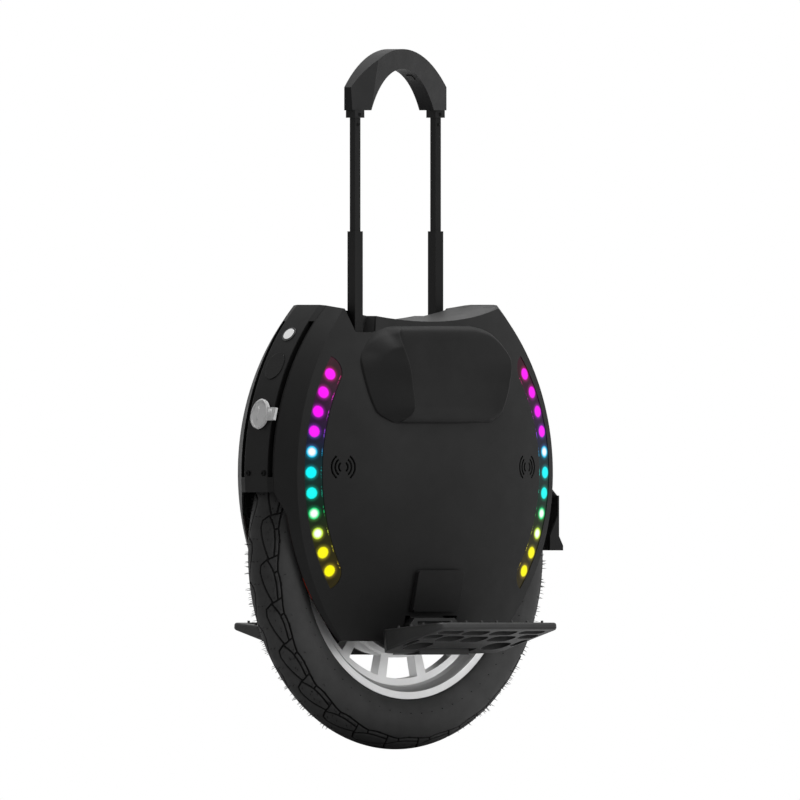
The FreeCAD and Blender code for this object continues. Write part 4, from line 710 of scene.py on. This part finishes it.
# Levels, mm: height over the panel's middle, half length, how proud the front edge is, place of the ridge,
# and how proud the ridge, the hollow and the rear edge are
pad_levels = [(59.0, 84.0, 1.4, 80.0, 1.6, 4.8, 2.6), (64.5, 97.0, 1.6, 69.0, 6.0, 5.4, 3.6),
              (71.0, 108.0, 1.8, 62.0, 11.0, 5.0, 5.0), (80.0, 113.5, 1.9, 60.0, 14.0, 4.4, 7.5),
              (104.0, 121.0, 2.0, 62.0, 15.5, 4.6, 13.5), (136.0, 125.5, 2.2, 67.0, 19.5, 7.0, 19.5),
              (159.0, 114.0, 2.4, 72.0, 19.0, 10.0, 16.5), (170.0, 103.0, 3.0, 71.0, 17.0, 12.0, 15.0),
              (176.5, 91.0, 5.0, 66.0, 15.0, 12.6, 13.5), (181.5, 66.0, 9.0, 58.0, 13.5, 12.8, 12.0)]
pad_low, pad_high = pad_levels[0][0], pad_levels[-1][0]
pad_rows = 92
pad_counts = (10, 34, 40, 12, 44, 6)
pad_columns = 1 + sum(pad_counts)
pad_outline_steps = 70
pad_row_share = 0.5

# Wall behind the ridge, ramp, and the finely divided strips at both edges
ridge_wall_least = 1.5
ridge_wall_share = 0.42
ramp_start_share = 0.22
ramp_power = 1.6
rear_strip = 8.0
front_strip = 3.0

# Rounding of the pad's edges: at the front, more along the top and the rear
edge_round = 1.0
top_round = 8.0
top_round_from, top_round_to = 146.0, 170.0
rear_round = 5.0
rear_round_shares = (0.3, 0.8)
edge_sunk = 0.6
pad_sunk = 1.2

# Sloping facet at the top of the wing
facet_x = (62.0, 82.0)
facet_rise = (128.0, 150.0)
facet_least_share = 0.16
facet_width = 30.0
soften_factor = 0.5
soften_steps = 2


def smooth_levels(rise):
    """Values of the pad's section at a height, on a curve without overshoot through the levels."""
    table = np.array(pad_levels)
    heights = table[:, 0]
    k = int(np.clip(np.searchsorted(heights, rise) - 1, 0, len(heights) - 2))
    span = heights[k + 1] - heights[k]
    t = (rise - heights[k]) / span

    def slope(i):
        if i == 0 or i == len(heights) - 1:
            j = 0 if i == 0 else len(heights) - 2
            return (table[j + 1] - table[j]) / (heights[j + 1] - heights[j])
        before = (table[i] - table[i - 1]) / (heights[i] - heights[i - 1])
        after = (table[i + 1] - table[i]) / (heights[i + 1] - heights[i])
        same = before * after > 0
        return np.where(same, 2 * before * after / np.where(same, before + after, 1.0), 0.0)

    h00 = 2 * t ** 3 - 3 * t ** 2 + 1
    h10 = t ** 3 - 2 * t ** 2 + t
    h01 = -2 * t ** 3 + 3 * t ** 2
    h11 = t ** 3 - t ** 2
    return h00 * table[k] + h10 * span * slope(k) + h01 * table[k + 1] + h11 * span * slope(k + 1)


def ease(value, low, high):
    t = min(max((value - low) / (high - low), 0.0), 1.0)
    return t * t * (3 - 2 * t)


def pad_stations(level):
    """Places along the pad at one height, with columns of points on the foot and the crest of the ridge."""
    _, half, _, ridge_at, ridge, middle, _ = level
    foot = ridge_at - ridge_wall_least - ridge_wall_share * abs(ridge - middle)
    knots = [-half, -half + rear_strip, -ramp_start_share * half, foot, ridge_at, half - front_strip, half]
    places = [-half]
    for k, count in enumerate(pad_counts):
        places += [knots[k] + (knots[k + 1] - knots[k]) * (n + 1) / count for n in range(count)]
    return np.array(places), foot


def pad_height(x, level, foot):
    """How proud the pad stands before its edges are rounded: wing, ridge, wall, hollow and ramp."""
    _, half, front, ridge_at, ridge, middle, rear = level
    if x >= ridge_at:
        share = min((x - ridge_at) / max(half - ridge_at, 1e-6), 1.0)
        return ridge + (front - ridge) * share
    if x >= foot:
        return middle + (ridge - middle) * ease(x, foot, ridge_at)
    if x >= -ramp_start_share * half:
        return middle
    share = min((-x / half - ramp_start_share) / (1 - ramp_start_share), 1.0)
    return middle + (rear - middle) * share ** ramp_power


def pad_outline():
    """Closed line round the pad, as places along it and heights."""
    rises = np.linspace(pad_low, pad_high, pad_outline_steps)
    halves = np.array([smooth_levels(rise)[1] for rise in rises])
    ahead = np.stack([halves, rises], axis=1)
    behind = np.stack([-halves, rises], axis=1)[::-1]
    return np.concatenate([ahead, behind])


def edge_distance(spots, line):
    """Distance of each spot from a closed line."""
    nearest = np.full(len(spots), 1e9)
    for a, b in zip(line, np.roll(line, -1, axis=0)):
        along = b - a
        share = np.clip((spots - a) @ along / (along @ along), 0.0, 1.0)
        gap = np.linalg.norm(spots - a - share[:, None] * along, axis=1)
        nearest = np.minimum(nearest, gap)
    return nearest


def pad_rise(row):
    """Height of a row of points: rows lie closer near the lower and upper edge."""
    share = row / (pad_rows - 1)
    wave = 0.5 - 0.5 * math.cos(math.pi * share)
    span = pad_high - pad_low
    return pad_low + span * wave * pad_row_share + span * share * (1 - pad_row_share)


def pad_surface():
    """Points of the pad's face, row by row: place along, height, and how proud it stands."""
    points = []
    for row in range(pad_rows):
        rise = pad_rise(row)
        level = smooth_levels(rise)
        places, foot = pad_stations(level)
        points += [(x, rise, pad_height(x, level, foot), level[1]) for x in places]
    points = np.array(points)
    gap = edge_distance(points[:, :2], pad_outline())
    for k, (x, rise, proud, half) in enumerate(points):
        top = ease(rise, top_round_from, top_round_to)
        behind = ease(-x, rear_round_shares[0] * half, rear_round_shares[1] * half)
        round_in = edge_round + top_round * top + (1 - top) * rear_round * behind
        share = min(gap[k] / round_in, 1.0)
        wing = ease(x, *facet_x) * ease(rise, *facet_rise)
        facet = min(facet_least_share + gap[k] / facet_width, 1.0)
        rounded = math.sqrt(1 - (1 - share) ** 2)
        points[k, 2] = proud * rounded * (1 - wing * (1 - facet)) - edge_sunk * (1 - share)
    return points[:, :3].tolist()


def pad_piece(name, side):
    """A closed pad on the ball of the side panel: a face, a back just under the panel, and the edge."""
    rows, columns = pad_rows, pad_columns
    points = pad_surface()
    half_count = rows * columns
    points += [(x, rise, -pad_sunk) for x, rise, _ in points]
    placed = []
    for x, rise, proud in points:
        radius = side_radius / mm + proud
        y = side_centre_y / mm + math.sqrt(radius * radius - x * x - rise * rise)
        placed.append((x * mm, side * y * mm, side_centre_z + rise * mm))
    top = grid_faces(rows, columns)
    under = grid_faces(rows, columns)[:, ::-1] + half_count
    faces = [tuple(face) for face in top.tolist() + under.tolist()]
    rim = list(range(columns)) + [i * columns + columns - 1 for i in range(1, rows)]
    rim += [(rows - 1) * columns + j for j in range(columns - 2, -1, -1)]
    rim += [i * columns for i in range(rows - 2, 0, -1)]
    for a, b in zip(rim, rim[1:] + rim[:1]):
        faces.append((b, a, a + half_count, b + half_count))
    if side < 0:
        faces = [face[::-1] for face in faces]
    piece = new_object(name, placed, faces)
    fix = piece.modifiers.new("soften", "SMOOTH")
    fix.factor = soften_factor
    fix.iterations = soften_steps
    return piece


# Small fittings: grains on the grip sheets, heads of the screws, relief of the port cap

pin_side = 78.0
pin_height = 140.0
pedal_tilt = math.radians(5.0)
sheet_top = 11.0
head_steps = 24
head_rings = ((1.0, -0.2), (1.0, 0.55), (0.86, 1.0), (0.0, 1.0), (0.0, 0.25))
socket_share = 0.5
head_radius = 3.4
head_rise = 1.2
head_proud = 0.7
cap_height = 421.0
cap_face = 4.4

# Arc of the front and rear covers in side view
face_radius = 290.0
face_middle = 347.0
face_setback = 45.6
cover_screw_side = 13.8
front_screw_height, rear_screw_height = 347.0, 370.0

# Trolley posts, with (half width, height, rise of the head) of the screws in collar and inner tube
post_x, post_y = 117.5, 48.35
trolley_screws = ((8.25, 798.0, 0.6), (4.75, 785.0, 0.16))
trolley_screw_radius = 2.3

# Grains of the grip sheets
grain_seeds = {"left": 11, "right": 12}
grain_count = 2600
grain_half = 89.0
grain_inner, grain_outer = 29.0, 97.0
grain_sizes = (0.5, 1.1)
grain_rises = (0.5, 0.85)
grain_lean = 0.2
grain_step = 2.1

# Relief of the port cap: rim, thumb bar and ribs of the strap
rim_half_width, rim_half_height = 12.6, 17.4
rim_steps = 48
rim_bead, bar_bead, rib_bead = 1.0, 1.3, 0.6
thumb_bar = [(-1.5, -9.0), (-2.4, -4.0), (-2.4, 4.0), (-1.5, 9.0)]
rib_sides = (17.0, 19.4, 21.8)
rib_half = 6.0
bead_sides = 6
bead_arc_share = 1.3


def grip_grains(name, side):
    """Loose three-sided grains sunk a little into the grip sheet of one pedal."""
    draw = random.Random(grain_seeds["left" if side > 0 else "right"])
    points, faces = [], []
    for _ in range(grain_count):
        x, out = draw.uniform(-grain_half, grain_half), draw.uniform(grain_inner, grain_outer)
        size, turn = draw.uniform(*grain_sizes), draw.uniform(0.0, full_turn)
        first = len(points)
        angles = [turn + k * grain_step for k in range(3)]
        corners = [(size * math.cos(angle), size * math.sin(angle), -grain_lean) for angle in angles]
        corners.append((draw.uniform(-grain_lean, grain_lean), draw.uniform(-grain_lean, grain_lean),
                        size * draw.uniform(*grain_rises)))
        for dx, dp, dq in corners:
            p, q = out + dp, sheet_top + dq
            y = pin_side + p * math.cos(pedal_tilt) - q * math.sin(pedal_tilt)
            z = pin_height + p * math.sin(pedal_tilt) + q * math.cos(pedal_tilt)
            points.append((side * (x + dx) * mm, side * y * mm, z * mm))
        a, b, c, d = range(first, first + 4)
        faces.extend([(a, b, d), (b, c, d), (c, a, d), (c, b, a)])
    return new_object(name, points, faces, smooth=False)


def socket_head(points, faces, centre, normal, radius, height):
    """A low screw head with a six-sided socket, standing on a face."""
    normal = Vector(normal).normalized()
    side = normal.orthogonal().normalized()
    across = normal.cross(side)
    count = head_steps
    flat = socket_share * radius
    first = len(points)
    for share, level in head_rings:
        for k in range(count):
            angle = full_turn * k / count
            reach = share * radius
            if share == 0.0:
                reach = flat / math.cos((angle % (full_turn / 6)) - full_turn / 12)
            spot = side * (reach * math.cos(angle)) + across * (reach * math.sin(angle))
            points.append((Vector(centre) + spot + normal * (height * level)) * mm)
    for ring in range(len(head_rings) - 1):
        for k in range(count):
            a = first + ring * count + k
            b = first + ring * count + (k + 1) % count
            faces.append((a, b, b + count, a + count))
    last = first + (len(head_rings) - 1) * count
    faces.append(tuple(last + k for k in range(count)))
    faces.append(tuple(first + k for k in range(count - 1, -1, -1)))


def cover_face(height):
    """Point of the front face at a height, and its outward normal."""
    rise = (height - face_middle) / face_radius
    run = math.sqrt(1 - rise * rise)
    return (face_radius * run - face_setback, height), (run, rise)


def cover_heads():
    points, faces = [], []
    for height, way in ((front_screw_height, 1.0), (rear_screw_height, -1.0)):
        (x, z), (nx, nz) = cover_face(height)
        for y in (-cover_screw_side, cover_screw_side):
            centre = (way * (x + nx * head_rise), y, z + nz * head_rise)
            socket_head(points, faces, centre, (way * nx, 0.0, nz), head_radius, head_proud)
    return new_object("cover_screw_sockets", points, faces, smooth=False)


def trolley_heads():
    """Screws in the collars, and near-flush ones in the inner tubes, which slide into the middle tubes."""
    points, faces = [], []
    for way in (-1.0, 1.0):
        for half, height, proud in trolley_screws:
            for face in (-1.0, 1.0):
                centre = (way * post_x, way * post_y + face * half, height)
                socket_head(points, faces, centre, (0.0, face, 0.0), trolley_screw_radius, proud)
    return new_object("trolley_screws", points, faces, smooth=False)


def cap_relief():
    """Raised rim, thumb bar and strap ribs moulded on the port cap."""
    (x0, z0), (nx, nz) = cover_face(cap_height)
    out = Vector((nx, 0.0, nz))
    up = Vector((-nz, 0.0, nx))
    base = Vector((x0, 0.0, z0)) + out * cap_face
    points, faces = [], []

    def bead(line, radius, closed):
        """A half-sunk round bead along a line of (side, up) places on the cap."""
        first = len(points)
        count = len(line)
        for i, (a, b) in enumerate(line):
            before = line[i - 1] if closed or i else line[i]
            after = line[(i + 1) % count] if closed or i < count - 1 else line[i]
            along = Vector((after[0] - before[0], after[1] - before[1])).normalized()
            across = Vector((0.0, -along.y, 0.0)) + up * along.x
            spot = base + Vector((0.0, a, 0.0)) + up * b
            for k in range(bead_sides):
                angle = math.pi * (k / (bead_sides - 1) * bead_arc_share - (bead_arc_share - 1) / 2)
                reach = across * (radius * math.cos(angle)) + out * (radius * math.sin(angle))
                points.append((spot + reach) * mm)
        for i in range(count if closed else count - 1):
            here = first + i * bead_sides
            there = first + (i + 1) % count * bead_sides
            for k in range(bead_sides):
                step = (k + 1) % bead_sides
                faces.append((here + k, here + step, there + step, there + k))
        if not closed:
            last = first + (count - 1) * bead_sides
            faces.append(tuple(first + k for k in range(bead_sides - 1, -1, -1)))
            faces.append(tuple(last + k for k in range(bead_sides)))

    angles = [full_turn * k / rim_steps for k in range(rim_steps)]
    ring = [(rim_half_width * math.cos(angle), rim_half_height * math.sin(angle)) for angle in angles]
    bead(ring, rim_bead, True)
    bead(thumb_bar, bar_bead, False)
    for side in rib_sides:
        bead([(side, -rib_half), (side, rib_half)], rib_bead, False)
    return new_object("port_cap_relief", points, faces)


# Scene: the world lights surfaces only a little, but is seen and mirrored as white

world_fill = 0.1
floor_reach = 2.4
floor_fade_start, floor_fade_end = 0.55, 1.9
overhead = {"place": (-0.25, 0.2, 2.6), "aim": (0.0, 0.0, 0.4), "size": (1.8, 1.8), "power": 58.0}
left_side = {"place": (-1.0, 2.2, 1.3), "aim": (0.0, 0.0, 0.45), "size": (1.2, 1.6), "power": 20.0}


def make_camera():
    turn = math.radians(camera_turn)
    toward = Vector((math.sin(turn), -math.cos(turn), 0.0))
    right = Vector((-toward.y, toward.x, 0.0))
    data = bpy.data.cameras.new("camera")
    data.type = "ORTHO"
    data.ortho_scale = frame_width
    camera = bpy.data.objects.new("camera", data)
    camera.location = right * camera_side + Vector((0.0, 0.0, camera_height)) + toward * camera_distance
    camera.rotation_euler = (math.radians(90), 0.0, turn)
    bpy.context.scene.collection.objects.link(camera)
    bpy.context.scene.camera = camera


def lamp(name, place, aim, size, power):
    data = bpy.data.lights.new(name, "AREA")
    data.shape = "RECTANGLE"
    data.size, data.size_y = size
    data.energy = power
    light = bpy.data.objects.new(name, data)
    light.location = place
    light.rotation_euler = (Vector(aim) - Vector(place)).to_track_quat("-Z", "Y").to_euler()
    bpy.context.scene.collection.objects.link(light)


def make_world():
    world = bpy.data.worlds.new("studio")
    bpy.context.scene.world = world
    world.use_nodes = True
    tree = world.node_tree
    tree.nodes.clear()
    out = tree.nodes.new("ShaderNodeOutputWorld")
    path = tree.nodes.new("ShaderNodeLightPath")
    seen = path.outputs["Is Camera Ray"]
    for key in ("Is Glossy Ray", "Is Transmission Ray"):
        larger = tree.nodes.new("ShaderNodeMath")
        larger.operation = "MAXIMUM"
        tree.links.new(seen, larger.inputs[0])
        tree.links.new(path.outputs[key], larger.inputs[1])
        seen = larger.outputs[0]
    dim = tree.nodes.new("ShaderNodeBackground")
    dim.inputs["Strength"].default_value = world_fill
    white = tree.nodes.new("ShaderNodeBackground")
    white.inputs["Strength"].default_value = 1.0
    for node in (dim, white):
        node.inputs["Color"].default_value = (1.0, 1.0, 1.0, 1.0)
    mix = tree.nodes.new("ShaderNodeMixShader")
    tree.links.new(seen, mix.inputs[0])
    tree.links.new(dim.outputs[0], mix.inputs[1])
    tree.links.new(white.outputs[0], mix.inputs[2])
    tree.links.new(mix.outputs[0], out.inputs["Surface"])


def make_floor():
    """Pale floor that takes the shadow and fades into the white backdrop further out."""
    corners = [(-floor_reach, -floor_reach, 0), (floor_reach, -floor_reach, 0),
               (floor_reach, floor_reach, 0), (-floor_reach, floor_reach, 0)]
    floor = new_object("floor", corners, [(0, 1, 2, 3)], smooth=False)
    t = Tree("floor_pale")
    colour = t.mix(t.between(t.noise(3.0, 3.0)), grey(0.9), grey(0.94))
    pale = t.principled({"Base Color": colour, "Roughness": t.between(t.noise(8.0), 0.75, 0.9),
                         "Specular IOR Level": 0.1})
    away = t.add("ShaderNodeVectorMath", {0: t.place}, operation="LENGTH").outputs["Value"]
    fade = t.span(away, floor_fade_start, floor_fade_end, smooth=True)
    clear = t.add("ShaderNodeBsdfTransparent")
    blend = t.add("ShaderNodeMixShader", {0: fade, 1: pale.outputs[0], 2: clear.outputs[0]})
    t.tree.links.new(blend.outputs[0], t.output.inputs["Surface"])
    floor.data.materials.append(t.material)


def dress(looks):
    """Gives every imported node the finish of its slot."""
    slots = {row["node"]: row["material_slot"] for row in frame["record"]["subparts"]}
    for node, thing in frame["nodes"].items():
        look = looks[slots[node]]
        if not thing.data.materials:
            thing.data.materials.append(look)
        for index in range(len(thing.data.materials)):
            thing.data.materials[index] = look


def ride_with(piece, body, slot, looks):
    piece.data.materials.append(looks[slot])
    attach(piece, body)


bpy.context.scene.view_settings.view_transform = "Standard"
looks = finishes()
dress(looks)
make_camera()
make_world()
make_floor()
lamp("overhead", **overhead)
lamp("left_side", **left_side)

tread = tyre_piece()
ride_with(tread, "wheel", "tyre_rubber", looks)
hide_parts("tyre")
hairs = tyre_hairs()
ride_with(hairs, "wheel", "tyre_rubber", looks)

heads = cover_heads()
ride_with(heads, "chassis", "screw_steel", looks)
heads = trolley_heads()
ride_with(heads, "trolley_top", "screw_steel", looks)
relief = cap_relief()
ride_with(relief, "charge_cap", "cap_rubber", looks)

for name, side in (("left", 1.0), ("right", -1.0)):
    grains = grip_grains(name + "_grip_grains", side)
    ride_with(grains, name + "_pedal_body", "grip_sheet_grit", looks)
    pad = pad_piece(name + "_knee_pad_foam", side)
    ride_with(pad, "chassis", "pad_foam", looks)
    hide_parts(name + "_knee_pad")
